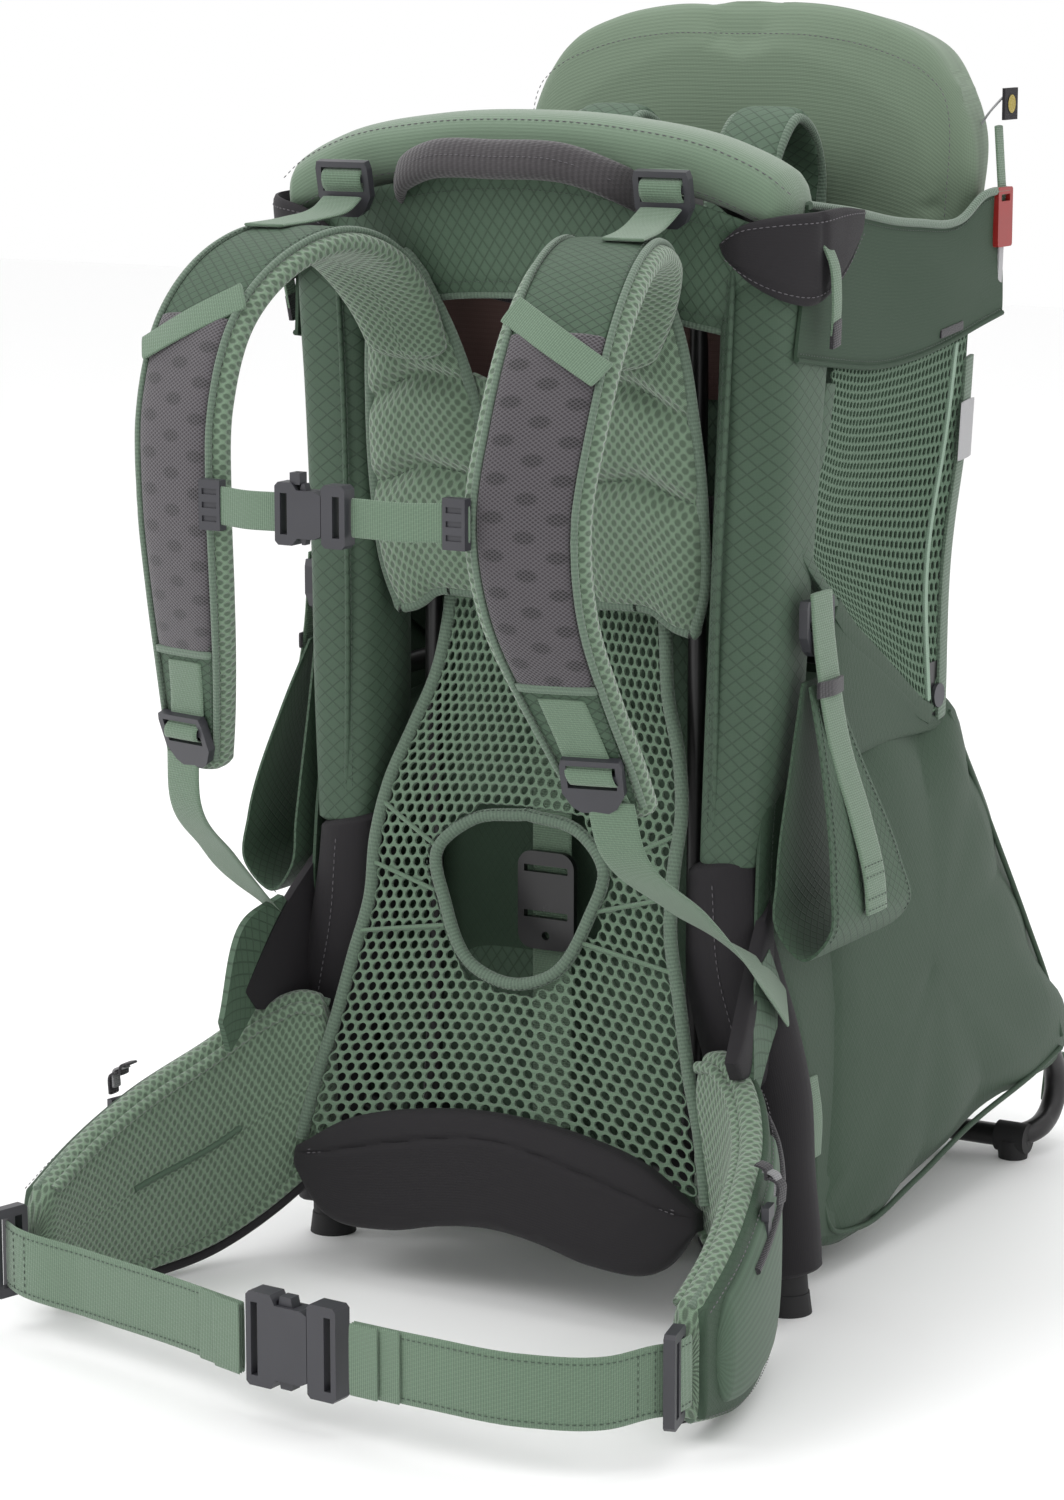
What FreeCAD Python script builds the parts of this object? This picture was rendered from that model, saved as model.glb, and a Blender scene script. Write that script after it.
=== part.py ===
import FreeCAD, Part
import math
import os
import Sketcher

# Child carrier pack standing on its feet.  Millimetres, +Z up, +Y away from the wearer.
# Everything is drawn from the front feet (y = 0 between them); set_back then moves it,
# so that the origin lies on the floor under the middle of the whole pack.

SIZES = {
    "set_back": 41,              # front feet to the middle of the footprint
    # tubes
    "frame_od": 16,              # main hoop
    "frame_wall": 1.6,
    "rail_od": 10,               # inner rails that carry the yoke
    "bar_od": 12,                # lumbar bar and seat hoop
    "stand_od": 14,              # folding rear stand
    "thin_wall": 1.5,
    "stay_od": 6,                # wire inside the back rest
    # main hoop
    "foot_half_track": 149,      # feet, either side of the middle
    "hoop_waist_half": 119,      # legs lean in to here
    "hoop_waist_height": 250,
    "hoop_shoulder_half": 134,
    "hoop_shoulder_height": 612,
    "hoop_top_height": 636,
    "rail_half": 84,
    # rear stand
    "pivot_half": 140,
    "pivot_back": 180,
    "pivot_height": 318,
    "stand_reach": 388,
    "stand_bar_back": 338,
    "pin_radius": 4,
    "pin_clearance": 0.08,
    "ear_gap": 0.6,              # knuckle to each ear
    "knuckle_width": 10,
    "knuckle_radius": 11,
    "ear_width": 4.2,
    "ear_radius": 12,
    "stand_start": 20,           # pivot to the tube's end
    "socket_radius": 10,
    "rivet_head_radius": 7,
    "rivet_head": 2,
    # soft parts
    "rim_depth": 44,
    "rim_height": 34,
    "rim_half": 146,
    "sleeve_radius": 19,
    "yoke_half": 100,
    "yoke_thick": 13,
    "strap_width": 66,
    "strap_thick": 12,
    "wing_thick": 20,
    "mesh_thick": 3,
    "board_thick": 3,
    "bag_half": 127,
    "dome_half": 148,
    "dome_top": 706,
    "dome_thick": 30,
    # webbing and its fittings
    "hip_web": 38,
    "strap_web": 25,
    "chest_web": 20,
    "web_thick": 2,
    "lock_thick": 5,
    "bar_width": 3.2,            # bars of ladder locks and triglides
    "slot_gap": 5,
    "buckle_clearance": 0.35,
}

doc = FreeCAD.newDocument("child_carrier")
sheet = doc.addObject("Spreadsheet::Sheet", "Sizes")
for row, (alias, value) in enumerate(SIZES.items(), start=1):
    sheet.set("A%d" % row, alias)
    sheet.set("B%d" % row, str(value))
    sheet.setAlias("B%d" % row, alias)
doc.recompute()

V = FreeCAD.Vector
UP = V(0, 0, 1)
SIDES = {"right": -1, "left": 1}      # the wearer's own left is +X
nodes = []


def size(alias):
    return float(sheet.get(alias))


def flip(point, side):
    return V(point[0] * side, point[1], point[2])


def turned(shape, base, rotation=None):
    moved = shape.copy()
    moved.Placement = FreeCAD.Placement(V(*base), rotation or FreeCAD.Rotation())
    return moved


def add_node(name, shape):
    """Keep a shape as the sub-part of that name, moved back to the pack's origin."""
    feature = doc.addObject("Part::Feature", name)
    feature.Label = name
    feature.Shape = shape
    shift = FreeCAD.Placement(V(0, -size("set_back"), 0), FreeCAD.Rotation())
    feature.Placement = shift.multiply(shape.Placement)
    nodes.append(feature)
    return feature


def place_body(body, base, rotation=None):
    x, y, z = base
    body.Placement = FreeCAD.Placement(V(x, y - size("set_back"), z), rotation or FreeCAD.Rotation())
    nodes.append(body)


# ---------------------------------------------------------------- tubes and ribbons

def bent_path(points, radii):
    """Straight runs joined by tangent arcs: one radius for each inner point."""
    points = [V(*p) for p in points]
    edges = []
    start = points[0]
    for index in range(1, len(points) - 1):
        corner = points[index]
        back = (points[index - 1] - corner).normalize()
        ahead = (points[index + 1] - corner).normalize()
        half = back.getAngle(ahead) / 2
        radius = radii[index - 1]
        reach = radius / math.tan(half)
        enter = corner + back * reach
        leave = corner + ahead * reach
        middle = (back + ahead).normalize()
        centre = corner + middle * (radius / math.sin(half))
        if (enter - start).Length > 1e-6:
            edges.append(Part.LineSegment(start, enter).toShape())
        edges.append(Part.Arc(enter, centre - middle * radius, leave).toShape())
        start = leave
    edges.append(Part.LineSegment(start, points[-1]).toShape())
    return Part.Wire(edges)


def swept(path, radius):
    edge = path.OrderedEdges[0]
    direction = edge.tangentAt(edge.FirstParameter)
    circle = Part.Wire([Part.Circle(edge.valueAt(edge.FirstParameter), direction, radius).toShape()])
    return path.makePipeShell([circle], True, True)


def tube(path, outer, wall):
    return swept(path, outer / 2).cut(swept(path, outer / 2 - wall))


def loft_loops(loops):
    """A solid skinned with straight rules from each closed loop of points to the next."""
    faces = [Part.Face(Part.makePolygon(loop + loop[:1])) for loop in (loops[0], loops[-1])]
    for near, far in zip(loops, loops[1:]):
        for index in range(len(near)):
            follower = (index + 1) % len(near)
            near_edge = Part.LineSegment(near[index], near[follower]).toShape()
            far_edge = Part.LineSegment(far[index], far[follower]).toShape()
            faces.append(Part.makeRuledSurface(near_edge, far_edge))
    shell = Part.makeShell(faces)
    shell.sewShape()
    solid = Part.makeSolid(shell)
    if solid.Volume < 0:
        solid.reverse()
    return solid


def ribbon(stations):
    """A flat strip: each station is (centre, across, outward, width, thickness)."""
    loops = []
    for centre, across, outward, width, thick in stations:
        centre, across, outward = V(*centre), V(*across).normalize(), V(*outward)
        outward = (outward - across * outward.dot(across)).normalize()
        a, b = across * (width / 2), outward * (thick / 2)
        loops.append([centre - a - b, centre + a - b, centre + a + b, centre - a + b])
    return loft_loops(loops)


def plate(outline, thick, normal):
    """A closed outline thickened along a direction, half to each side."""
    half = V(*normal).normalize() * (thick / 2)
    corners = [V(*p) - half for p in outline]
    return Part.Face(Part.makePolygon(corners + corners[:1])).extrude(half * 2)


def both_halves(half_outline):
    """The +X half of a closed outline, joined to its mirror image."""
    return list(half_outline) + [(-x, y, z) for x, y, z in reversed(half_outline) if x > 0]


# ---------------------------------------------------------------- aluminium structure

def hoop_points(side=1):
    top = size("hoop_top_height")
    return [flip(p, side) for p in (
        (size("foot_half_track"), 0, 10),
        (size("foot_half_track") - 5, -9, 118),
        (size("hoop_waist_half"), -18, size("hoop_waist_height")),
        (size("hoop_waist_half") + 10, -8, 490),
        (size("hoop_shoulder_half"), -14, size("hoop_shoulder_height")),
    )] + [V(0, -20, top)]


def hoop_path():
    left = hoop_points(-1)
    right = hoop_points(1)
    points = left + right[-2::-1]
    return bent_path(points, [260, 200, 320, 42, 420, 42, 320, 200, 260])


def top_bow_path():
    left, right = hoop_points(-1), hoop_points(1)
    reach = size("rim_half") / size("hoop_shoulder_half")
    ends = [V(p[-2].x * reach, -8, p[-2].z - 4) for p in (left, right)]
    return bent_path([ends[0], V(0, -20, size("hoop_top_height")), ends[1]], [420])


def main_frame():
    return tube(hoop_path(), size("frame_od"), size("frame_wall"))


def leg_path(side):
    foot, knee, waist = hoop_points(side)[:3]
    lower = foot + (knee - foot).normalize() * 28
    upper = waist + (knee - waist).normalize() * 2
    return bent_path([lower, knee, upper], [260])


def lumbar_bar_path():
    half = size("foot_half_track") - 16
    return bent_path([(-half, -7, 92), (-half + 40, 4, 66), (half - 40, 4, 66), (half, -7, 92)], [40, 40])


def rail_path(side):
    half = size("rail_half") * side
    return bent_path([(half, 4, 74), (half, 10, 140), (half, 10, 560), (half, -10, 604)], [200, 60])


def seat_hoop_half():
    return size("hoop_waist_half") + 2


def seat_hoop_level():
    return size("pivot_height") + 16


def seat_hoop_path():
    half, level = seat_hoop_half(), seat_hoop_level()
    back = size("pivot_back") + 8
    corners = [(-half, 4, level), (-half, back, level), (half, back, level), (half, 4, level)]
    return bent_path(corners, [18, 18])


def stand_point():
    return V(size("pivot_half"), size("pivot_back"), size("pivot_height"))


def stand_corner():
    return V(size("pivot_half") + 9, size("stand_reach"), 30)


def stand_path():
    pivot, corner = stand_point(), stand_corner()
    start = pivot + (corner - pivot).normalize() * size("stand_start")
    bar = V(size("pivot_half") + 7, size("stand_bar_back"), size("stand_od") / 2 + 6)
    right = [start, corner, bar]
    left = [flip(p, -1) for p in reversed(right)]
    return bent_path(right + left, [23, 20, 20, 23])


def stay_path():
    half = size("dome_half") - 30
    low = size("pivot_height") + 30
    high = size("dome_top") - 22
    lean = 0.15
    return bent_path([
        (-half, 203, low), (-half, 203 + lean * (high - low), high),
        (half, 203 + lean * (high - low), high), (half, 203, low)], [80, 80])


def build_structure():
    hoop = swept(hoop_path(), size("frame_od") / 2)
    add_node("main_frame", main_frame())
    bar_end = swept(lumbar_bar_path(), size("bar_od") / 2)
    add_node("lumbar_bar", tube(lumbar_bar_path(), size("bar_od"), size("thin_wall")).cut(hoop))
    rails = [tube(rail_path(s), size("rail_od"), size("thin_wall")) for s in SIDES.values()]
    add_node("harness_rails", Part.makeCompound([r.cut(bar_end).cut(hoop) for r in rails]))
    clamps = []
    solid_rails = [swept(rail_path(s), size("rail_od") / 2) for s in SIDES.values()]
    for side, rail in zip(SIDES.values(), solid_rails):
        for centre, extent in (((0, -12, 604), (16, 20, 14)), ((0, 4, 76), (18, 22, 20))):
            middle = V(side * size("rail_half"), centre[1], centre[2])
            block = Part.makeBox(*extent, middle - V(*extent) / 2)
            clamps.append(block.cut(hoop).cut(bar_end).cut(rail))
    add_node("rail_clamps", Part.makeCompound(clamps))
    add_node("seat_hoop", tube(seat_hoop_path(), size("bar_od"), size("thin_wall")).cut(hoop))
    add_node("rear_stand", tube(stand_path(), size("stand_od"), size("thin_wall")))
    add_node("backrest_stay", swept(stay_path(), size("stay_od") / 2))
    return hoop, bar_end, clamps


# ---------------------------------------------------------------- stand hinge

def build_hinge():
    """Two forked brackets on the seat hoop; a knuckle on the stand's tube turns on a riveted pin in each."""
    pivot, corner = stand_point(), stand_corner()
    along = (corner - pivot).normalize()
    side_axis = V(1, 0, 0)
    half = size("knuckle_width") / 2
    ear, ear_radius = size("ear_width"), size("ear_radius")
    pin = size("pin_radius")
    hole = pin + size("pin_clearance")
    reach = size("stand_start")
    inner = half + size("ear_gap")
    outer = inner + ear
    hoop_x, hoop_z = seat_hoop_half(), seat_hoop_level()
    bridge_low, bridge_thick = hoop_z - 3.5, 7
    saddle_high, saddle_edge = 18, hoop_x - 9
    pin_hole = Part.makeCylinder(hole, 60, pivot - side_axis * 30, side_axis)
    knuckles, brackets, pins = [], [], []
    for side in SIDES.values():
        eye = Part.makeCylinder(size("knuckle_radius"), half * 2, pivot - side_axis * half, side_axis)
        neck = Part.makeCylinder(9, reach, pivot, along)
        neck = neck.common(Part.makeBox(half * 2, 90, 90, pivot - V(half, 45, 60)))
        socket = Part.makeCylinder(size("socket_radius"), 30, pivot + along * (reach - 5), along)
        bore = Part.makeCylinder(size("stand_od") / 2 + 0.05, 40, pivot + along * (reach - 0.05), along)
        knuckle = eye.fuse([neck, socket]).cut(bore).cut(pin_hole)
        shell = []
        for start in (-outer, inner):
            corner_at = pivot + side_axis * start
            shell.append(Part.makeCylinder(ear_radius, ear, corner_at, side_axis))
            shell.append(Part.makeBox(ear, 2 * ear_radius, 20, corner_at - V(0, ear_radius, 0)))
        bridge = Part.makeBox(pivot.x + outer - saddle_edge, 2 * ear_radius, bridge_thick,
                              V(saddle_edge, pivot.y - ear_radius, bridge_low))
        saddle = Part.makeBox(pivot.x - inner - saddle_edge, 2 * ear_radius, saddle_high,
                              V(saddle_edge, pivot.y - 2 * ear_radius, hoop_z - saddle_high / 2))
        bracket = bridge.fuse(shell + [saddle])
        fork_gap = Part.makeCylinder(ear_radius + 0.2, 2 * inner, pivot - side_axis * inner, side_axis)
        bracket = bracket.cut(fork_gap).cut(swept(seat_hoop_path(), size("bar_od") / 2)).cut(pin_hole)
        shaft = Part.makeCylinder(pin, 2 * outer + 2, pivot - side_axis * (outer + 1), side_axis)
        head = size("rivet_head")
        for start in (-outer - head - 0.2, outer + 0.2):
            head_at = pivot + side_axis * start
            shaft = shaft.fuse(Part.makeCylinder(size("rivet_head_radius"), head, head_at, side_axis))
        for piece, group in ((knuckle, knuckles), (bracket, brackets), (shaft, pins)):
            group.append(piece if side > 0 else piece.mirror(V(0, 0, 0), side_axis))
    add_node("stand_knuckles", Part.makeCompound(knuckles))
    add_node("stand_brackets", Part.makeCompound(brackets))
    add_node("hinge_pins", Part.makeCompound(pins))


# ---------------------------------------------------------------- rubber feet

def build_feet():
    fronts, rears = [], []
    tube_radius = size("frame_od") / 2
    for side in SIDES.values():
        foot, knee = hoop_points(side)[:2]
        along = (knee - foot).normalize()
        pad = Part.makeCone(13.5, 12, 12, V(foot.x, foot.y, 0))
        pad = pad.fuse(Part.makeCylinder(tube_radius + 3.5, 24, foot - along * 4, along))
        fronts.append(pad.cut(Part.makeCylinder(tube_radius + 0.05, 60, foot - along * 0.05, along)))
        bar = V(side * (size("pivot_half") - 4), size("stand_bar_back"), size("stand_od") / 2 + 6)
        nub = Part.makeCone(9, 10.5, 12, V(bar.x, bar.y, 0))
        collar = Part.makeCylinder(size("stand_od") / 2 + 2.5, 20, bar - V(10, 0, 0), V(1, 0, 0))
        rears.append(nub.fuse(collar).cut(swept(stand_path(), size("stand_od") / 2 + 0.05)))
    add_node("front_feet", Part.makeCompound(fronts))
    add_node("rear_feet", Part.makeCompound(rears))


# ---------------------------------------------------------------- moulded webbing fittings

def sketch_on(body, name, role):
    planes = {f.Role: f for f in body.Origin.OriginFeatures}
    sketch = body.newObject("Sketcher::SketchObject", name)
    sketch.AttachmentSupport = [(planes[role], "")]
    sketch.MapMode = "FlatFace"
    return sketch


def add_loop(sketch, corners):
    first = sketch.GeometryCount
    count = len(corners)
    for index, (x, y) in enumerate(corners):
        x2, y2 = corners[(index + 1) % count]
        sketch.addGeometry(Part.LineSegment(V(x, y, 0), V(x2, y2, 0)), False)
    for index in range(count):
        follower = first + (index + 1) % count
        sketch.addConstraint(Sketcher.Constraint("Coincident", first + index, 2, follower, 1))
    return first


def add_slot(sketch, name, centre, width, height):
    """A rectangle centred on the vertical axis, its sizes bound to expressions."""
    half_w, half_h = 5, 2
    first = add_loop(sketch, [(-half_w, centre - half_h), (half_w, centre - half_h),
                              (half_w, centre + half_h), (-half_w, centre + half_h)])
    for index, kind in ((1, "Vertical"), (2, "Horizontal"), (3, "Vertical")):
        sketch.addConstraint(Sketcher.Constraint(kind, first + index))
    sketch.addConstraint(Sketcher.Constraint("Symmetric", first, 1, first, 2, -2))
    for label, kind, at, expression in (
            (name + "_width", "DistanceX", (first, 1, first, 2), width),
            (name + "_height", "DistanceY", (first + 1, 1, first + 1, 2), height)):
        number = sketch.addConstraint(Sketcher.Constraint(kind, *at, 5.0))
        sketch.renameConstraint(number, label)
        sketch.setExpression("Constraints." + label, expression)
    number = sketch.addConstraint(Sketcher.Constraint("DistanceY", -1, 1, first, 1, centre - 2.0))
    sketch.renameConstraint(number, name + "_low")
    return name + "_low"


def pad_sketch(body, name, sketch, length):
    pad = body.newObject("PartDesign::Pad", name)
    pad.Profile = sketch
    pad.Midplane = True
    pad.setExpression("Length", length)
    return pad


def pocket_sketch(body, name, sketch, length):
    pocket = body.newObject("PartDesign::Pocket", name)
    pocket.Profile = sketch
    pocket.Midplane = True
    pocket.setExpression("Length", length)
    return pocket


def master_lock(name, web):
    """Ladder lock: two bars and a thumb tab, drawn in X-Z with its thickness along Y."""
    body = doc.addObject("PartDesign::Body", name)
    outline = sketch_on(body, name + "_outline", "XZ_Plane")
    wide = size(web) / 2 + 4
    tall = 3 * size("bar_width") + 2 * size("slot_gap")
    shoulder, tab = wide * 0.93, wide * 0.55
    low = -tall / 2
    add_loop(outline, [(-shoulder, -low), (-wide, -low - 4), (-wide, low), (-tab * 1.3, low - 8),
                       (-tab * 0.8, low - 11), (tab * 0.8, low - 11), (tab * 1.3, low - 8),
                       (wide, low), (wide, -low - 4), (shoulder, -low)])
    pad_sketch(body, name + "_pad", outline, "Sizes.lock_thick")
    doc.recompute()
    before = body.Shape.Volume
    slots = sketch_on(body, name + "_slots", "XZ_Plane")
    for label, sign in (("upper", 1), ("lower", -1)):
        centre = sign * (size("bar_width") + size("slot_gap")) / 2
        low = add_slot(slots, label, centre, "Sizes." + web + " + 1", "Sizes.slot_gap")
        below = "%d * (Sizes.bar_width + Sizes.slot_gap) / 2 - Sizes.slot_gap / 2" % sign
        slots.setExpression("Constraints." + low, below)
    pocket_sketch(body, name + "_slotted", slots, "Sizes.lock_thick + 2")
    doc.recompute()
    assert body.Shape.Volume < before - 100
    return body


def lock_copies(master, places):
    return [turned(master.Shape, base, rotation) for base, rotation in places]


# ---------------------------------------------------------------- side-release buckle

def buckle_values(web):
    """Sizes that grow with the webbing: the shell, the male base and its two sprung prongs."""
    w = size(web)
    length = w * 0.62 + 15
    hook = w * 0.08 + 1.4
    window = -length * 0.52              # where the prongs' hooks show at the sides
    return {
        "w": w, "half": w / 2 + 6, "thick": w * 0.15 + 6.5, "shell": 1.9 + w * 0.01,
        "length": length, "base": w * 0.22 + 10, "arm": w * 0.10 + 1.6, "hook": hook,
        "window": window, "window_end": window + w * 0.28, "deep": window - hook - 3,
        "waist": w / 2 + 6 - hook - 0.8, "side_wall": 1.8, "chamfer": 2, "bar": 3.2, "slot": 4.2,
    }


def chamfered(left, right, half, chamfer):
    """A rectangle with its four corners cut off."""
    return [(left, -half + chamfer), (left + chamfer, -half), (right - chamfer, -half),
            (right, -half + chamfer), (right, half - chamfer), (right - chamfer, half),
            (left + chamfer, half), (left, half - chamfer)]


def pad_from(body, name, corners, length):
    sketch = sketch_on(body, name + "_outline", "XZ_Plane")
    add_loop(sketch, corners)
    return pad_sketch(body, name, sketch, str(length))


def pocket_from(body, name, corners, length):
    sketch = sketch_on(body, name + "_outline", "XZ_Plane")
    add_loop(sketch, corners)
    return pocket_sketch(body, name, sketch, str(length))


def web_slot(near_end, k):
    inner_half = k["w"] / 2 + 0.5
    far = near_end + k["slot"]
    return [(near_end, -inner_half), (far, -inner_half), (far, inner_half), (near_end, inner_half)]


def build_female(name, k, whistle):
    """A flat sleeve, open towards the male half, with a window at each side for the prongs' hooks."""
    body = doc.addObject("PartDesign::Body", name + "_female")
    half, waist, window = k["half"], k["waist"], k["window"]
    left = -k["length"]
    pad_from(body, name + "_sleeve", [
        (left, -half + 2), (left + 2, -half), (window - 3, -half), (window, -waist), (-4, -waist),
        (0, -waist + 2), (0, waist - 2), (-4, waist), (window, waist), (window - 3, half),
        (left + 2, half), (left, half - 2)], k["thick"])
    doc.recompute()
    solid_volume = body.Shape.Volume
    wall = waist - k["side_wall"]
    inner = k["thick"] - 2 * k["shell"]
    pocket_from(body, name + "_cavity", [
        (k["deep"], -wall), (window - 1, -wall), (window - 1, -half - 1), (k["window_end"], -half - 1),
        (k["window_end"], -wall), (1, -wall), (1, wall), (k["window_end"], wall), (k["window_end"], half + 1),
        (window - 1, half + 1), (window - 1, wall), (k["deep"], wall)], inner)
    pocket_from(body, name + "_female_slot", web_slot(left + k["bar"], k), k["thick"] + 2)
    if whistle:
        tab = left + k["bar"] + k["slot"] + 1
        pad_from(body, name + "_whistle", [
            (tab, half - 1), (tab + 6, half - 1), (tab + 6, half + 5), (tab, half + 5)], k["thick"] * 0.7)
        pocket_from(body, name + "_whistle_mouth", [
            (tab + 1.6, half + 2.4), (tab + 4.4, half + 2.4), (tab + 4.4, half + 6), (tab + 1.6, half + 6)],
            k["thick"] * 0.35)
    doc.recompute()
    assert body.Shape.Volume < solid_volume - 300
    return body


def build_male(name, k, gap):
    """The base that holds the webbing, with a stiff tongue between the prongs."""
    body = doc.addObject("PartDesign::Body", name + "_male")
    inner = k["thick"] - 2 * k["shell"]
    pad_from(body, name + "_base", chamfered(gap, k["base"], k["half"], k["chamfer"]), k["thick"])
    tip, root, w = k["deep"] + 2, gap + 1, k["w"]
    pad_from(body, name + "_tongue", [(tip, -2), (tip + 3, -w * 0.10), (root, -w * 0.12), (root, w * 0.12),
                                      (tip + 3, w * 0.10), (tip, 2)], inner - 2 * gap)
    doc.recompute()
    solid_volume = body.Shape.Volume
    pocket_from(body, name + "_male_slot", web_slot(k["base"] - k["bar"] - k["slot"], k), k["thick"] + 2)
    doc.recompute()
    assert body.Shape.Volume < solid_volume - 100
    return body


def build_prong(name, label, sign, k, gap):
    """A sprung arm whose hook fills the window; its back is tapered so that it can be squeezed in."""
    body = doc.addObject("PartDesign::Body", "%s_prong_%s" % (name, label))
    arm_out = k["waist"] - k["side_wall"] - gap
    arm_in = arm_out - k["arm"]
    hook_out = k["half"] - 0.4
    tip = k["window"] - 1 + gap
    hook_end = k["window_end"] - gap * 2
    outline = [(0, arm_in), (0, arm_out), (hook_end, arm_out), (hook_end - 1.5, hook_out),
               (tip + 2.2, hook_out), (tip + 0.9, arm_out), (tip + 0.5, arm_in + k["arm"] * 0.3), (tip + 3, arm_in)]
    pad_from(body, "%s_%s_arm" % (name, label), [(x, sign * z) for x, z in outline],
             k["thick"] - 2 * k["shell"] - 2 * gap)
    return body


def build_buckle(name, web, centre, rotation, whistle=False):
    """A side-release buckle, joined along X; Z is the webbing's width."""
    k = buckle_values(web)
    gap = size("buckle_clearance")
    halves = [build_female(name, k, whistle), build_male(name, k, gap)]
    prongs = [build_prong(name, label, sign, k, gap) for label, sign in (("upper", 1), ("lower", -1))]
    doc.recompute()
    for body in halves + prongs:
        place_body(body, centre, rotation)


def build_triglides():
    body = doc.addObject("PartDesign::Body", "triglide_master")
    wide = size("hip_web") / 2 + 6
    tall = 3 * (size("bar_width") + 0.8) + 2 * size("slot_gap")
    outline = sketch_on(body, "triglide_outline", "XY_Plane")
    add_loop(outline, chamfered(-wide, wide, tall / 2, 2))
    pad_sketch(body, "triglide_pad", outline, "Sizes.lock_thick + 1")
    slots = sketch_on(body, "triglide_slots", "XY_Plane")
    for label, sign in (("front", 1), ("rear", -1)):
        centre = sign * (size("bar_width") + 0.8 + size("slot_gap")) / 2
        low = add_slot(slots, label, centre, "Sizes.hip_web + 1.5", "Sizes.slot_gap")
        below = "%d * (Sizes.bar_width + 0.8 + Sizes.slot_gap) / 2 - Sizes.slot_gap / 2" % sign
        slots.setExpression("Constraints." + low, below)
    pocket_sketch(body, "triglide_slotted", slots, "Sizes.lock_thick + 3")
    doc.recompute()
    copies = []
    for side in SIDES.values():
        upright = FreeCAD.Rotation(V(0, 1, 0), 90)
        splay = FreeCAD.Rotation(UP, 14 * side)
        copies.append(turned(body.Shape, (side * 205, -238, 44), splay.multiply(upright)))
    add_node("triglides", Part.makeCompound(copies))


# ---------------------------------------------------------------- harness

def strap_stations(side):
    wide, thick = size("strap_width"), size("strap_thick")
    rows = [
        ((62, -46, 520), (0, 1, 0.1), 0.72, 0.0),
        ((72, -50, 556), (0, 0.9, 0.4), 0.85, 0.0),
        ((82, -70, 581), (0, 0.4, 0.9), 0.95, 0.02),
        ((92, -104, 591), (0.05, 0.1, 1), 1.0, 0.05),
        ((101, -142, 580), (0.15, -0.5, 0.85), 1.0, 0.12),
        ((107, -177, 550), (0.2, -0.8, 0.55), 1.0, 0.2),
        ((107, -199, 508), (0.22, -0.95, 0.2), 1.0, 0.22),
        ((103, -207, 460), (0.22, -1, 0), 0.98, 0.22),
        ((105, -200, 412), (0.22, -0.97, -0.2), 0.92, 0.22),
        ((113, -184, 370), (0.22, -0.92, -0.3), 0.84, 0.22),
        ((122, -168, 334), (0.22, -0.9, -0.35), 0.74, 0.22),
        ((129, -156, 306), (0.22, -0.9, -0.35), 0.62, 0.22),
    ]
    stations = []
    for centre, outward, share, twist in rows:
        across = V(side, 0, 0) + V(0, twist, 0)
        stations.append((flip(centre, side), across, flip(outward, side), wide * share, thick))
    return stations


def build_harness():
    half, thick = size("yoke_half"), size("yoke_thick")
    lean = 0.1485
    edge = [(30, 505), (42, 528), (62, 572), (78, 577), (94, 541), (half, 494), (half + 2, 441),
            (half, 398), (93, 376), (78, 374), (66, 388), (36, 390)]
    outline = both_halves([(x, -9.5 - lean * (z - 375), z) for x, z in edge])
    add_node("yoke", plate(outline, thick, (0, 1, lean)))
    yoke = plate(outline, thick + 0.6, (0, 1, lean))
    for label, side in SIDES.items():
        strap = ribbon(strap_stations(side)).cut(yoke)
        add_node("shoulder_strap_" + label, max(strap.Solids, key=lambda s: s.Volume))


def strap_frame(side, index):
    """Centre, and the rotation that lays a fitting's X-Z plane on the strap at a station."""
    centre, across, outward, _, thick = strap_stations(side)[index]
    across = V(*across).normalize() * side
    outward = V(*outward)
    outward = (outward - across * outward.dot(across)).normalize()
    up = across.cross(outward * -1)
    rotation = FreeCAD.Rotation(across, outward * -1, up, "XYZ")
    return V(*centre), outward, rotation, up


def build_fittings():
    lock = master_lock("strap_ladder_lock", "strap_web")
    places = []
    for side in SIDES.values():
        places.append(((side * 98, -58, 617), FreeCAD.Rotation(V(1, 0, 0), 12)))
    add_node("lifter_locks", Part.makeCompound(lock_copies(lock, places)))
    places = []
    for side in SIDES.values():
        centre, outward, rotation, up = strap_frame(side, 10)
        offset = size("strap_thick") / 2 + size("lock_thick") / 2 + 3.2
        places.append((centre + outward * offset, rotation))
    add_node("strap_locks", Part.makeCompound(lock_copies(lock, places)))
    for label, side in SIDES.items():
        copies = lock_copies(lock, [((side * 157, 9, 388), FreeCAD.Rotation(UP, 90))])
        add_node("stirrup_lock_" + label, copies[0])


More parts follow.
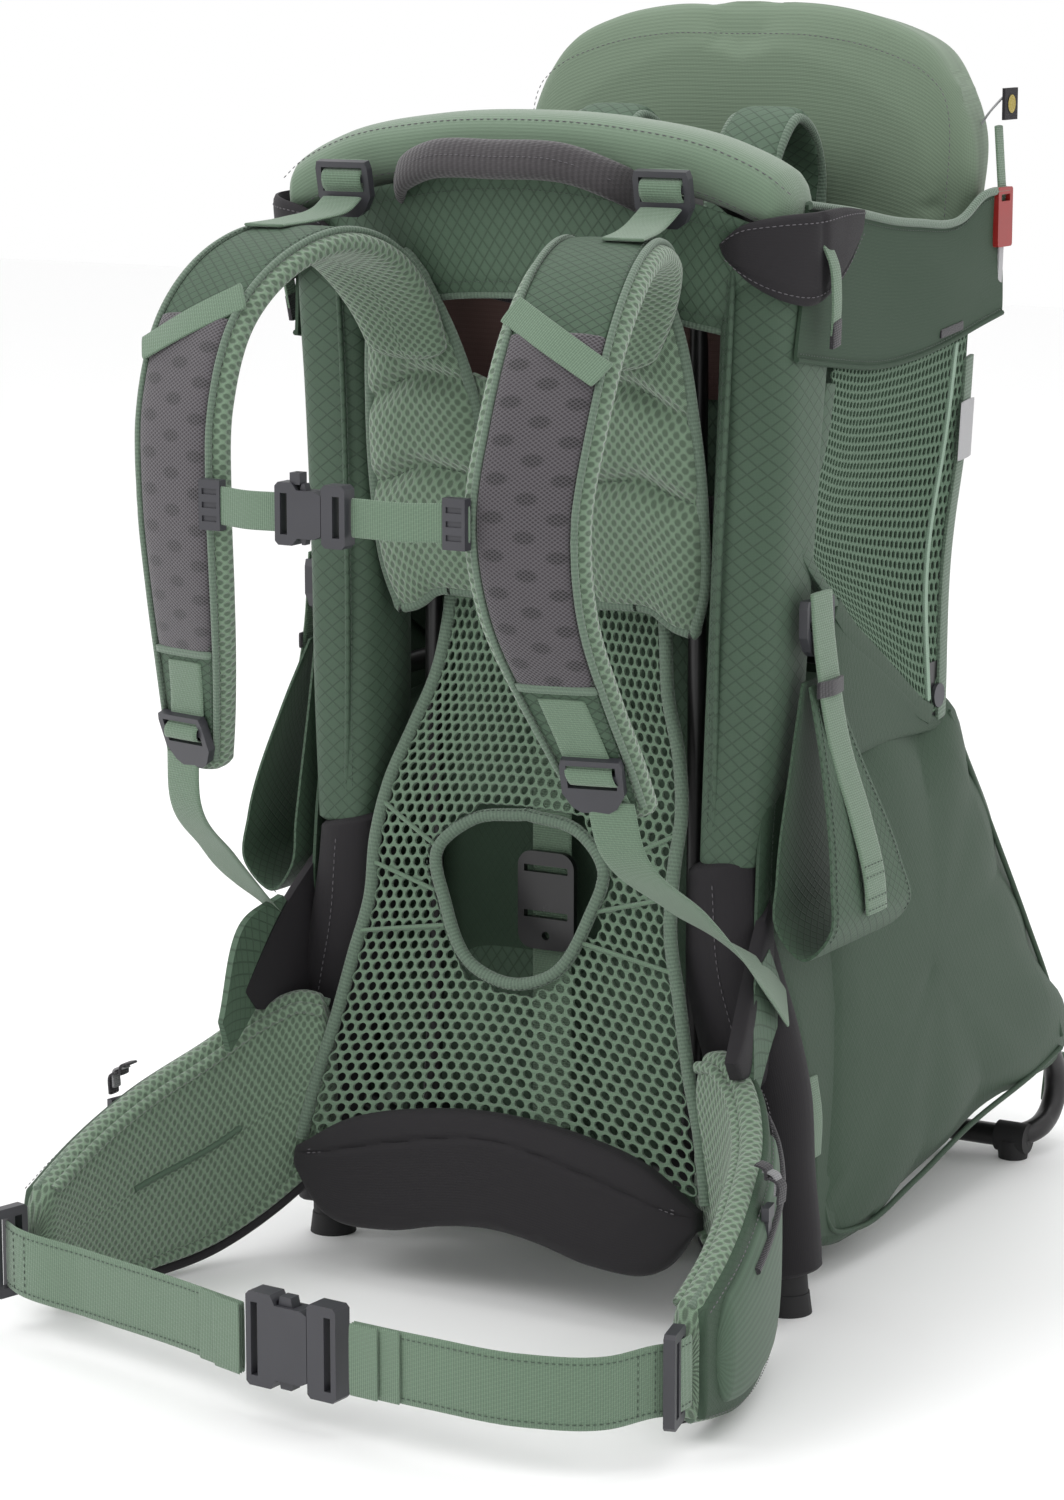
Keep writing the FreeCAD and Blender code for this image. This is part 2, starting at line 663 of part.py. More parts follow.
def build_webbing():
    web, thick = size("strap_web"), size("web_thick")
    lifters, lowers, chest = [], [], []
    for side in SIDES.values():
        lifters.append(ribbon([
            (flip((97, -70, 601), side), (1, 0, 0), (0, -0.3, 1), web, thick),
            (flip((106, -126, 597), side), (1, 0, 0), (0, 0, 1), web, thick)]))
        lowers.append(ribbon([
            (flip((131, -172, 296), side), (side, 0.25, 0), (0, -1, 0), web, thick),
            (flip((158, -150, 215), side), (side, 0.3, 0), (0, -1, 0), web, thick),
            (flip((178, -122, 141), side), (side, 0.5, 0), (0, -1, 0), web, thick)]))
    add_node("lifter_webbings", Part.makeCompound(lifters))
    add_node("lower_webbings", Part.makeCompound(lowers))
    width = size("chest_web")
    k = buckle_values("chest_web")
    middle = V(0, -232, 460)
    for side, end in ((-1, -k["length"] - 1), (1, k["base"] + 1)):
        chest.append(ribbon([
            ((middle.x + end, middle.y, middle.z), (0, 0, 1), (0, -1, 0), width, thick),
            ((side * 50, -230, 459.5), (0, 0, 1), (0, -1, 0), width, thick),
            ((side * 65, -227, 460), (0, 0, 1), (0, -1, 0), width, thick)]))
    add_node("sternum_webbings", Part.makeCompound(chest))
    build_buckle("sternum", "chest_web", middle, None, whistle=True)
    sliders = []
    for side in SIDES.values():
        block = Part.makeBox(13, 6, 26, V(-6.5, -3, -13))
        for row in (-7, 0, 7):
            block = block.cut(Part.makeBox(9, 2, 3, V(-4.5, -4, row - 1.5)))
        sliders.append(turned(block, (side * 73, -225.5, 460)))
    add_node("sternum_sliders", Part.makeCompound(sliders))

    width = size("hip_web")
    k = buckle_values("hip_web")
    joint = V(27, -292, 45)
    turn = FreeCAD.Rotation(UP, -4)
    left_end = joint + turn.multVec(V(-k["length"] - 1, 0, 0))
    right_end = joint + turn.multVec(V(k["base"] + 1, 0, 0))
    add_node("hip_webbing_right", ribbon([
        (left_end, UP, (0, -1, 0), width, thick),
        ((-78, -270, 41), UP, (-0.1, -1, 0), width, thick),
        ((-140, -256, 41), UP, (-0.2, -1, 0), width, thick),
        ((-197, -244, 43), UP, (-0.3, -1, 0), width, thick)]))
    add_node("hip_webbing_left", ribbon([
        (right_end, UP, (0, -1, 0), width, thick),
        ((100, -301, 47), UP, (0, -1, 0), width, thick),
        ((150, -295, 45), UP, (0.25, -1, 0), width, thick),
        ((186, -272, 43), UP, (0.6, -0.8, 0), width, thick),
        ((199, -249, 44), UP, (0.8, -0.6, 0), width, thick)]))
    build_buckle("hip", "hip_web", joint, turn)
    build_triglides()


# ---------------------------------------------------------------- belt and back system

def build_belt():
    thick = size("wing_thick")
    rows = [
        ((131, -51), (0.45, -0.9), (48, 158)),
        ((153, -66), (0.7, -0.7), (27, 150)),
        ((174, -95), (0.9, -0.45), (10, 131)),
        ((190, -138), (0.97, -0.25), (5, 113)),
        ((199, -180), (0.99, -0.12), (6, 93)),
        ((201, -222), (1, -0.05), (14, 72)),
    ]
    for label, side in SIDES.items():
        stations = []
        for (x, y), (out_x, out_y), (low, high) in rows:
            centre = (x * side, y, (low + high) / 2)
            stations.append((centre, UP, (out_x * side, -out_y, 0), high - low, thick))
        add_node("hip_wing_" + label, ribbon(stations))
    lumbar = [(0, 107), (45, 103), (90, 91), (120, 78), (121, 58), (100, 36), (60, 34), (30, 39), (0, 41)]
    lean = 0.1
    outline = both_halves([(x, -66 + (z - 73) * lean, z) for x, z in lumbar])
    add_node("lumbar_pad", plate(outline, 11, (0, 1, -lean)))


def mesh_line(z):
    """The back mesh seen from the side: forward at the lumbar, behind the yoke at the top."""
    knots = [(73, -62), (249, -36), (318, -8), (372, 1.5), (412, 2)]
    for (z1, y1), (z2, y2) in zip(knots, knots[1:]):
        if z <= z2:
            return y1 + (y2 - y1) * (z - z1) / (z2 - z1)
    return knots[-1][1]


def build_back_mesh():
    rows = [(113, 122), (140, 113), (182, 104), (215, 95), (249, 95),
            (280, 93), (308, 85), (339, 74), (372, 69), (410, 66)]
    thick = size("mesh_thick")
    stations = [((0, mesh_line(z), z), (1, 0, 0), (0, -1, 0), 2 * half, thick) for z, half in rows]
    sheet_solid = ribbon(stations)
    window = [(0, 270), (34, 264), (53, 246), (46, 219), (26, 186), (0, 178)]
    outline = [V(*p) for p in both_halves([(x, 0, z) for x, z in window])]
    cutter = Part.Face(Part.makePolygon(outline + outline[:1])).extrude(V(0, -90, 0))
    cutter = cutter.fuse(cutter.mirror(V(0, 0, 0), V(0, 1, 0)))
    add_node("back_mesh", sheet_solid.cut(cutter))


def build_torso_adjuster():
    plate_body = Part.makeBox(36, 4, 56, V(-20, -6, 188))
    plate_body = plate_body.makeFillet(9, [e for e in plate_body.Edges if abs(e.tangentAt(0).y) > 0.9])
    plate_body = plate_body.cut(Part.makeBox(28, 8, 4, V(-16, -8, 206)))
    plate_body = plate_body.cut(Part.makeBox(28, 8, 4, V(-16, -8, 232)))
    plate_body = plate_body.cut(Part.makeCylinder(2.5, 8, V(-2, -8, 196), V(0, 1, 0)))
    add_node("torso_buckle", plate_body)
    add_node("torso_webbing", Part.makeBox(25, 2, 250, V(-14.5, 0.5, 84)))
    board = [(100, 24, 560), (100, 24, 300), (92, 24, 72), (-92, 24, 72), (-100, 24, 300), (-100, 24, 560)]
    add_node("back_board", plate(board, size("board_thick"), (0, 1, 0)))
    front = both_halves([(98, -20, 595), (98, -20, 548), (40, -20, 560)])
    add_node("front_panel", plate(front, 3, (0, 1, 0)))


def section_sweep(path, depth, height):
    """A rounded rectangular section carried along the top bow."""
    edge = path.OrderedEdges[0]
    origin = edge.valueAt(edge.FirstParameter)
    along = edge.tangentAt(edge.FirstParameter)
    across = along.cross(UP).normalize()
    rise = across.cross(along).normalize()
    d, h, r = depth / 2, height / 2, min(depth, height) * 0.32
    corners = [(-d + r, -h), (d - r, -h), (d, -h + r), (d, h - r),
               (d - r, h), (-d + r, h), (-d, h - r), (-d, -h + r)]
    points = [origin + across * a + rise * b for a, b in corners]
    wire = Part.makePolygon(points + points[:1])
    return path.makePipeShell([wire], True, True)


def build_shell(hoop, bar, clamps):
    rim = section_sweep(top_bow_path(), size("rim_depth"), size("rim_height")).cut(hoop)
    for clamp in clamps:
        rim = rim.cut(clamp)
    for side in SIDES.values():
        rim = rim.cut(swept(rail_path(side), size("rail_od") / 2))
    add_node("rim_pad", max(rim.Solids, key=lambda s: s.Volume))
    handle = bent_path([(-74, -60, 613), (-40, -66, 630), (40, -66, 630), (74, -60, 613)], [60, 60])
    add_node("grab_handle", swept(handle, 9.5))
    sleeves, columns = [], []
    for side in SIDES.values():
        sleeve = swept(leg_path(side), size("sleeve_radius")).cut(hoop).cut(bar)
        sleeves.append(max(sleeve.Solids, key=lambda s: s.Volume))
        rows = [(254, 106, 138, -32, 20), (400, 107, 147, -24, 28),
                (495, 109, 152, -22, 32), (578, 112, 156, -24, 32)]
        wires = []
        for z, near, far, front, rear in rows:
            corners = [V(side * near, front, z), V(side * (far - 10), front, z), V(side * far, front + 12, z),
                       V(side * far, rear, z), V(side * near, rear, z)]
            wires.append(corners)
        column = loft_loops(wires).cut(hoop).cut(swept(seat_hoop_path(), size("bar_od") / 2))
        columns.append(max(column.Solids, key=lambda s: s.Volume))
    add_node("leg_sleeves", Part.makeCompound(sleeves))
    add_node("columns", Part.makeCompound(columns))
    for label, side in SIDES.items():
        wall = [(38, 606), (103, 593), (170, 600), (214, 604), (206, 512), (190, 400), (182, 350), (120, 356),
                (53, 388), (38, 410)]
        outline = [(side * 152, y, z) for y, z in wall]
        add_node("side_wall_" + label, plate(outline, 4, (1, 0, 0)))


def build_back_rest():
    half, top = size("dome_half"), size("dome_top")
    lean = 0.15
    outline = [(128, 352), (140, 480), (half - 4, 560), (half, 612), (half - 14, 650), (half - 32, 680),
               (half - 62, top - 7), (0, top)]
    points = both_halves([(x, 203 + lean * (z - 350), z) for x, z in outline])
    pad = plate(points, size("dome_thick"), (0, 1, -lean))
    pad = pad.cut(swept(stay_path(), size("stay_od") / 2 + 0.3))
    add_node("back_rest", max(pad.Solids, key=lambda s: s.Volume))


def build_child_seat():
    base = Part.makeBox(120, 104, 18, V(-60, 48, 378))
    base = base.makeFillet(8, [e for e in base.Edges if abs(e.tangentAt(0).z) > 0.9])
    add_node("child_seat", base)
    loops = []
    for side in SIDES.values():
        loops.append(ribbon([
            (flip((46, 196, 560), side), (1, 0, 0), (0, 0.3, 1), 36, 9),
            (flip((48, 190, 622), side), (1, 0, 0), (0, 0.5, 1), 38, 9),
            (flip((50, 160, 644), side), (1, 0, 0), (0, -0.1, 1), 40, 9),
            (flip((50, 130, 622), side), (1, 0, 0), (0, -0.8, 0.5), 40, 9),
            (flip((48, 120, 570), side), (1, 0, 0), (0, -1, 0), 38, 9),
            (flip((44, 124, 500), side), (1, 0, 0), (0, -1, 0), 34, 9)]))
    add_node("child_harness", Part.makeCompound(loops))


def build_bag():
    half = size("bag_half")
    profile = [(26, 34), (56, 16), (95, 14), (164, 27), (233, 46), (358, 66),
               (318, 130), (205, 296), (180, 300), (110, 306), (26, 306)]
    solid = plate([(0, y, z) for y, z in profile], 2 * half, (1, 0, 0))
    solid = solid.cut(swept(lumbar_bar_path(), size("bar_od") / 2 + 1))
    for side in SIDES.values():
        solid = solid.cut(swept(rail_path(side), size("rail_od") / 2 + 1))
    board = Part.makeBox(210, 8, 520, V(-105, 20, 60))
    solid = solid.cut(board)
    add_node("storage_bag", max(solid.Solids, key=lambda s: s.Volume))


def build_stirrups():
    rows = [((159, 10, 364), (1, 0, 0.1), 26), ((172, 8, 312), (1, 0, 0.2), 44),
            ((186, 14, 250), (1, 0, 0.1), 84), ((186, 18, 220), (1, 0, -0.3), 100),
            ((170, 20, 208), (0, 0, -1), 100), ((154, 18, 220), (-1, 0, -0.3), 100),
            ((152.6, 14, 250), (-1, 0, 0), 84), ((153, 8, 312), (-1, 0, 0), 44),
            ((154, 10, 362), (-1, 0, 0), 26)]
    for label, side in SIDES.items():
        stations = [(flip(c, side), (0, 1, 0), flip(n, side), w, 2.4) for c, n, w in rows]
        add_node("stirrup_" + label, ribbon(stations))


def build_trim():
    for label, side in SIDES.items():
        body = Part.makeBox(4, 12, 7, V(-2, -6, -3.5))
        pull = Part.makeBox(2.4, 7, 20, V(-1.2, -3.5, -24.5))
        pull = pull.cut(Part.makeBox(4, 3, 8, V(-2, -1.5, -22)))
        piece = body.fuse(pull.fuse(Part.makeBox(2.4, 4, 3, V(-1.2, -2, -6))))
        beside_pocket = (side * 204.5, -136, 102)
        add_node("zip_pull_" + label, turned(piece, beside_pocket, FreeCAD.Rotation(UP, 13 * side)))
    clips = []
    for side in SIDES.values():
        clip = Part.makeBox(5, 20, 34, V(-2.5, -10, -17))
        clip = clip.makeFillet(2, [e for e in clip.Edges if abs(e.tangentAt(0).x) > 0.9])
        clip = clip.cut(Part.makeBox(8, 12, 4, V(-4, -6, 9)))
        clips.append(turned(clip, (side * 158, 240, 588)))
    add_node("side_clips", Part.makeCompound(clips))
    tag = Part.makeBox(2, 18, 18, V(-1, -9, -9))
    add_node("sun_tag", turned(tag, (160, 244, 652)))


hoop_solid, bar_solid, clamp_solids = build_structure()
build_hinge()
build_feet()
build_harness()
build_fittings()
build_webbing()
build_belt()
build_back_mesh()
build_torso_adjuster()
build_shell(hoop_solid, bar_solid, clamp_solids)
build_back_rest()
build_child_seat()
build_bag()
build_stirrups()
build_trim()

doc.recompute()
for item in doc.Objects:
    if "Invalid" in item.State or "Error" in item.State:
        raise RuntimeError("failed: " + item.Name)
os.makedirs("parts", exist_ok=True)
for node in nodes:
    shape = node.Shape
    if shape.isNull() or not shape.isValid() or shape.Volume <= 0:
        raise RuntimeError("bad shape: " + node.Label)
    shape.exportStep("parts/%s.step" % node.Label)
print("wrote", len(nodes), "nodes")
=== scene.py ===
import math
import bmesh
import bpy
import numpy as np
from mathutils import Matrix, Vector


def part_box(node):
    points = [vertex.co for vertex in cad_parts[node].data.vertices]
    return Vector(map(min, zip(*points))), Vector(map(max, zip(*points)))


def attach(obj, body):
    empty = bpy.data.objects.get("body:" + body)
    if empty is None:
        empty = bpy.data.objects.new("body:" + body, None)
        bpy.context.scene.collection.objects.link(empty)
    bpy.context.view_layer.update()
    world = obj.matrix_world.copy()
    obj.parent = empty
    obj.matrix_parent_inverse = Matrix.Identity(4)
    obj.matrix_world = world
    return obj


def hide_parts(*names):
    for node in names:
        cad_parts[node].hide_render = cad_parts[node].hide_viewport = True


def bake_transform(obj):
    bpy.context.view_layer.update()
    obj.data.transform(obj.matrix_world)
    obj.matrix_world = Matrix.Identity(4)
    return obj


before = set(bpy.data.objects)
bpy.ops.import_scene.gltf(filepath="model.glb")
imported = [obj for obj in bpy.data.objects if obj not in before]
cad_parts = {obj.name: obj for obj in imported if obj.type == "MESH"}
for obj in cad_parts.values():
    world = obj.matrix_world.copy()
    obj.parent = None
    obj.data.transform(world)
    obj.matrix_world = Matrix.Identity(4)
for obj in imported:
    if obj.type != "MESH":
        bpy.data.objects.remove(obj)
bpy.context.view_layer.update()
scene = bpy.context.scene
sides = {"right": -1, "left": 1}        # the wearer's own left is +X

# Everything is drawn in millimetres from the line between the front feet.
feetLow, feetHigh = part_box("front_feet")
feetLine = (feetLow.y + feetHigh.y) / 2


def at(x, y, z):
    return (x / 1000, y / 1000 + feetLine, z / 1000)


def rowAt(centre, across, outward, width, thick):
    return [*at(*centre), *across, *outward, width / 1000, thick / 1000]


def flip(vector, side):
    return (vector[0] * side, vector[1], vector[2])


def unit(vectors):
    return vectors / np.maximum(np.linalg.norm(vectors, axis=-1, keepdims=True), 1e-12)


def spline(rows, where):
    # a smooth line through the rows; where holds shares of its length, or a count
    pts = np.array(rows, float)
    step = np.maximum(np.linalg.norm(np.diff(pts[:, :3], axis=0), axis=1), 1e-6)
    knots = np.concatenate([[0], np.cumsum(step)])
    slope = np.diff(pts, axis=0) / step[:, None]
    tangent = np.empty_like(pts)
    tangent[0], tangent[-1] = slope[0], slope[-1]
    if len(pts) > 2:
        share = (step[1:] / (step[:-1] + step[1:]))[:, None]
        tangent[1:-1] = slope[:-1] * share + slope[1:] * (1 - share)
    if isinstance(where, int):
        where = np.linspace(0, 1, where)
    target = np.asarray(where) * knots[-1]
    k = np.clip(np.searchsorted(knots, target, "right") - 1, 0, len(pts) - 2)
    h = step[k][:, None]
    s = ((target - knots[k]) / step[k])[:, None]
    return ((2 * s**3 - 3 * s**2 + 1) * pts[k] + (s**3 - 2 * s**2 + s) * h * tangent[k]
            + (3 * s**2 - 2 * s**3) * pts[k + 1] + (s**3 - s**2) * h * tangent[k + 1])


def sheetGrid(bottom, top, left, right, columns, rows):
    # the smooth surface between four edges; bottom and top run left to right, left and right run upwards
    b, t = spline(bottom, columns)[:, :3], spline(top, columns)[:, :3]
    l, r = spline(left, rows)[:, :3], spline(right, rows)[:, :3]
    u = np.linspace(0, 1, columns)[None, :, None]
    v = np.linspace(0, 1, rows)[:, None, None]
    corners = (1 - u) * (1 - v) * b[0] + u * (1 - v) * b[-1] + (1 - u) * v * t[0] + u * v * t[-1]
    return (1 - v) * b[None] + v * t[None] + (1 - u) * l[:, None] + u * r[:, None] - corners


def gridNormals(grid, facing):
    normal = unit(np.cross(np.gradient(grid, axis=1), np.gradient(grid, axis=0)))
    if (normal.reshape(-1, 3) @ np.array(facing, float)).mean() < 0:
        normal = -normal
    return normal


def gridLengths(grid):
    across = np.linalg.norm(np.diff(grid, axis=1), axis=2).mean(0)
    upward = np.linalg.norm(np.diff(grid, axis=0), axis=2).mean(1)
    return np.concatenate([[0], np.cumsum(across)]), np.concatenate([[0], np.cumsum(upward)])


def crown(count, power, floor=0.0):
    s = np.abs(np.linspace(-1, 1, count))
    return floor + (1 - floor) * np.sqrt(np.maximum(1 - s**power, 0))


def puffed(columns, rows, thick, power=5.0, floor=0.12):
    return thick * np.outer(crown(rows, power, floor), crown(columns, power, floor))


def grooved(height, lines, width, depth):
    # sewn channels: each line is points in shares of the grid, from left to right and bottom to top
    rows, columns = height.shape
    u, v = np.meshgrid(np.linspace(0, 1, columns), np.linspace(0, 1, rows))
    near = np.full(height.shape, 9.0)
    for line in lines:
        for (u1, v1), (u2, v2) in zip(line, line[1:]):
            du, dv = u2 - u1, v2 - v1
            s = np.clip(((u - u1) * du + (v - v1) * dv) / (du * du + dv * dv), 0, 1)
            near = np.minimum(near, np.hypot(u - u1 - s * du, v - v1 - s * dv))
    return height * (1 - depth * np.exp(-(near / width) ** 2))


def newPiece(name, verts, faces, uvs, finish, sharp=50):
    mesh = bpy.data.meshes.new(name)
    mesh.from_pydata([tuple(v) for v in verts], [], [tuple(f) for f in faces])
    layer = mesh.uv_layers.new(name="UVMap")
    layer.data.foreach_set("uv", np.asarray(uvs, np.float32).ravel())
    shape = bmesh.new()
    shape.from_mesh(mesh)
    bmesh.ops.recalc_face_normals(shape, faces=shape.faces)
    shape.to_mesh(mesh)
    shape.free()
    mesh.polygons.foreach_set("use_smooth", [True] * len(mesh.polygons))
    mesh.set_sharp_from_angle(angle=math.radians(sharp))
    piece = bpy.data.objects.new(name, mesh)
    scene.collection.objects.link(piece)
    mesh.materials.append(finish)
    return piece


def padOn(name, grid, front, back, facing, finish, sharp=60):
    # a closed piece on both sides of a grid: front and back are heights along the way it faces
    rows, columns = grid.shape[:2]
    normal = gridNormals(grid, facing)
    front = np.broadcast_to(front, (rows, columns))
    back = np.broadcast_to(back, (rows, columns))
    verts = np.concatenate([(grid + normal * front[..., None]).reshape(-1, 3),
                            (grid - normal * back[..., None]).reshape(-1, 3)])
    us, vs = gridLengths(grid)
    uvOf = np.stack(np.meshgrid(us, vs), axis=-1).reshape(-1, 2)
    uvOf = np.concatenate([uvOf, uvOf])
    index = np.arange(rows * columns).reshape(rows, columns)
    quads = np.stack([index[:-1, :-1], index[:-1, 1:], index[1:, 1:], index[1:, :-1]], -1).reshape(-1, 4)
    rim = np.concatenate([index[0, :], index[1:, -1], index[-1, -2::-1], index[-2:0:-1, 0]])
    after = np.roll(rim, -1)
    total = rows * columns
    walls = np.stack([rim, after, after + total, rim + total], -1)
    faces = np.concatenate([quads, quads[:, ::-1] + total, walls]).tolist()
    return newPiece(name, verts, faces, [uvOf[i] for face in faces for i in face], finish, sharp)


def sweep(name, rows, finish, steps=80, around=28, square=2.6, cap=0.006, sharp=50):
    # a soft bar or strap carried along rows of (place, across, outward, width, thickness)
    length = np.linalg.norm(np.diff(np.array(rows)[:, :3], axis=0), axis=1).sum()
    turn = np.radians([12, 30, 48, 66, 84])
    ends = cap * (1 - np.cos(turn)) / length
    where = np.concatenate([ends, np.linspace(cap / length, 1 - cap / length, steps), (1 - ends)[::-1]])
    s = spline(rows, where)
    scale = np.concatenate([np.sin(turn), np.ones(steps), np.sin(turn)[::-1]])[:, None, None]
    centre, across = s[:, None, :3], unit(s[:, 3:6])
    outward = s[:, 6:9] - across * (s[:, 6:9] * across).sum(1, keepdims=True)
    outward = unit(outward)
    angle = np.linspace(-math.pi / 2, 1.5 * math.pi, around, endpoint=False)
    x = np.sign(np.cos(angle)) * np.abs(np.cos(angle)) ** (2 / square)
    y = np.sign(np.sin(angle)) * np.abs(np.sin(angle)) ** (2 / square)
    offset = (across[:, None] * (x[None, :, None] * s[:, None, 9:10] / 2)
              + outward[:, None] * (y[None, :, None] * s[:, None, 10:11] / 2))
    rings = centre + offset * scale
    return tubeMesh(name, rings, finish, sharp)


def tubeMesh(name, rings, finish, sharp=50):
    count, around = rings.shape[:2]
    along = np.concatenate([[0], np.cumsum(np.linalg.norm(np.diff(rings.mean(1), axis=0), axis=1))])
    middle = rings[count // 2]
    girth = np.concatenate([[0], np.cumsum(np.linalg.norm(np.roll(middle, -1, axis=0) - middle, axis=1))])
    faces, uvs = [], []
    for i in range(count - 1):
        for j in range(around):
            k = (j + 1) % around
            faces.append((i * around + j, i * around + k, (i + 1) * around + k, (i + 1) * around + j))
            uvs += [(along[i], girth[j]), (along[i], girth[j + 1]),
                    (along[i + 1], girth[j + 1]), (along[i + 1], girth[j])]
    for base, order in ((0, -1), ((count - 1) * around, 1)):
        face = [base + j for j in range(around)][::order]
        faces.append(face)
        uvs += [(along[0 if base == 0 else -1], girth[j - base]) for j in face]
    return newPiece(name, rings.reshape(-1, 3), faces, uvs, finish, sharp)


def cordAlong(name, points, radius, finish, steps=60, sides=8):
    # a thin round trim, such as piping, along a line of points
    line = spline(points, steps)[:, :3]
    tangent = unit(np.gradient(line, axis=0))
    reference = np.array([0.0, 0.0, 1.0])
    if abs(tangent[:, 2]).mean() > 0.8:
        reference = np.array([1.0, 0.0, 0.0])
    a = unit(np.cross(tangent, reference))
    b = unit(np.cross(tangent, a))
    angle = np.linspace(0, 2 * math.pi, sides, endpoint=False)
    rings = (line[:, None] + a[:, None] * (np.cos(angle)[None, :, None] * radius)
             + b[:, None] * (np.sin(angle)[None, :, None] * radius))
    return tubeMesh(name, rings, finish, 80)


def joined(name, pieces):
    # several meshes of one finish or more made a single piece
    bpy.ops.object.select_all(action="DESELECT")
    for piece in pieces:
        piece.select_set(True)
    bpy.context.view_layer.objects.active = pieces[0]
    if len(pieces) > 1:
        bpy.ops.object.join()
    pieces[0].name = name
    pieces[0].data.name = name
    return pieces[0]


def baked(piece, name=None):
    # modifiers turned into a plain mesh
    view = bpy.context.evaluated_depsgraph_get()
    mesh = bpy.data.meshes.new_from_object(piece.evaluated_get(view))
    plain = bpy.data.objects.new(name or piece.name, mesh)
    scene.collection.objects.link(plain)
    old = piece.name
    bpy.data.objects.remove(piece)
    plain.name = name or old
    plain.data.name = plain.name
    return plain


def place(piece, body, stands=()):
    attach(piece, body)
    return dressed(piece, stands)


def dressed(piece, stands=()):
    if stands:
        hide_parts(*stands)
    return piece


def plump(piece, pressure, cap):
    # cloth under a little pressure rounds a pad out; each point may move only as far as cap
    mesh = piece.data
    trial = piece.copy()
    trial.data = mesh.copy()
    scene.collection.objects.link(trial)
    cloth = trial.modifiers.new("Cloth", "CLOTH")
    cloth.settings.use_pressure = True
    cloth.settings.uniform_pressure_force = pressure
    cloth.settings.effector_weights.gravity = 0
    cloth.settings.quality = 4
    cloth.settings.mass = 0.4
    cloth.collision_settings.use_collision = False
    for number in range(1, 21):
        scene.frame_set(number)
    view = bpy.context.evaluated_depsgraph_get()
    result = trial.evaluated_get(view).data
    before = np.array([v.co for v in mesh.vertices])
    after = np.array([v.co for v in result.vertices])
    move = after - before
    size = np.linalg.norm(move, axis=1, keepdims=True)
    move *= np.minimum(1, cap / np.maximum(size, 1e-9))
    mesh.vertices.foreach_set("co", (before + move).astype(np.float32).ravel())
    mesh.update()
    bpy.data.objects.remove(trial)
    scene.frame_set(1)
    return piece


# every pattern lies on the piece's own UV map, in metres
def add(tree, kind, inputs=None, **settings):
    node = tree.nodes.new("ShaderNode" + kind)
    for key, value in settings.items():
        setattr(node, key, value)
    for key, value in (inputs or {}).items():
        if isinstance(value, bpy.types.NodeSocket):
            tree.links.new(value, node.inputs[key])
        else:
            node.inputs[key].default_value = value
    return node


def calc(tree, what, a, b=0.0, c=0.0):
    return add(tree, "Math", {0: a, 1: b, 2: c}, operation=what).outputs[0]


def tint(tree, share, dark, light):
    mix = add(tree, "Mix", {"Factor": share}, data_type="RGBA")
    mix.inputs["A"].default_value = (*dark, 1)
    mix.inputs["B"].default_value = (*light, 1)
    return mix.outputs["Result"]


def over(tree, share, below, above):
    mix = add(tree, "Mix", {"Factor": share}, data_type="RGBA")
    tree.links.new(below, mix.inputs["A"])
    if isinstance(above, bpy.types.NodeSocket):
        tree.links.new(above, mix.inputs["B"])
    else:
        mix.inputs["B"].default_value = (*above, 1)
    return mix.outputs["Result"]


fabricDepth = 0.60        # share of a swatch's lightness that suits the bright studio


def srgb(r, g, b):
    def linear(c):
        return c / 255 / 12.92 if c < 10 else ((c / 255 + 0.055) / 1.055) ** 2.4
    return tuple(fabricDepth * linear(c) for c in (r, g, b))


def shade(colour, factor):
    return tuple(min(1.0, c * factor) for c in colour)


def startFinish(name, roughness, sheen=0.0, specular=0.3):
    finish = bpy.data.materials.new(name)
    finish.use_nodes = True
    tree = finish.node_tree
    shader = tree.nodes["Principled BSDF"]
    shader.inputs["Roughness"].default_value = roughness
    shader.inputs["Specular IOR Level"].default_value = specular
    if sheen:
        shader.inputs["Sheen Weight"].default_value = sheen
        shader.inputs["Sheen Roughness"].default_value = 0.5
    return finish, tree, shader


def endFinish(tree, shader, colour, height, depth, strength=0.6):
    tree.links.new(colour, shader.inputs["Base Color"])
    bump = add(tree, "Bump", {"Height": height, "Distance": depth, "Strength": strength})
    tree.links.new(bump.outputs[0], shader.inputs["Normal"])


def uvParts(tree):
    coords = add(tree, "TexCoord")
    parts = add(tree, "SeparateXYZ", {0: coords.outputs["UV"]})
    return coords, parts.outputs["X"], parts.outputs["Y"]


def wave(tree, coordinate, pitch):
    # 0 to 1 and back over each pitch
    angle = calc(tree, "MULTIPLY", coordinate, 2 * math.pi / pitch)
    return calc(tree, "MULTIPLY_ADD", calc(tree, "SINE", angle), 0.5, 0.5)


def mottled(tree, source, scale, detail=3.0):
    return add(tree, "TexNoise", {"Vector": source, "Scale": scale, "Detail": detail}).outputs[0]


def hexDots(tree, u, v, pitchU, pitchV):
    # distance to the nearest point of a staggered lattice, in shares of the pitch
    def lattice(shift):
        x = calc(tree, "ADD", calc(tree, "DIVIDE", u, pitchU), shift)
        y = calc(tree, "ADD", calc(tree, "DIVIDE", v, pitchV), shift)
        x = calc(tree, "SUBTRACT", calc(tree, "FRACT", x), 0.5)
        y = calc(tree, "SUBTRACT", calc(tree, "FRACT", y), 0.5)
        return calc(tree, "SQRT", calc(tree, "ADD", calc(tree, "MULTIPLY", x, x),
                                       calc(tree, "MULTIPLY", y, y)))
    return calc(tree, "MINIMUM", lattice(0.0), lattice(0.5))


def band(tree, value, low, high):
    return add(tree, "MapRange", {"Value": value, "From Min": low, "From Max": high},
               interpolation_type="SMOOTHSTEP").outputs[0]


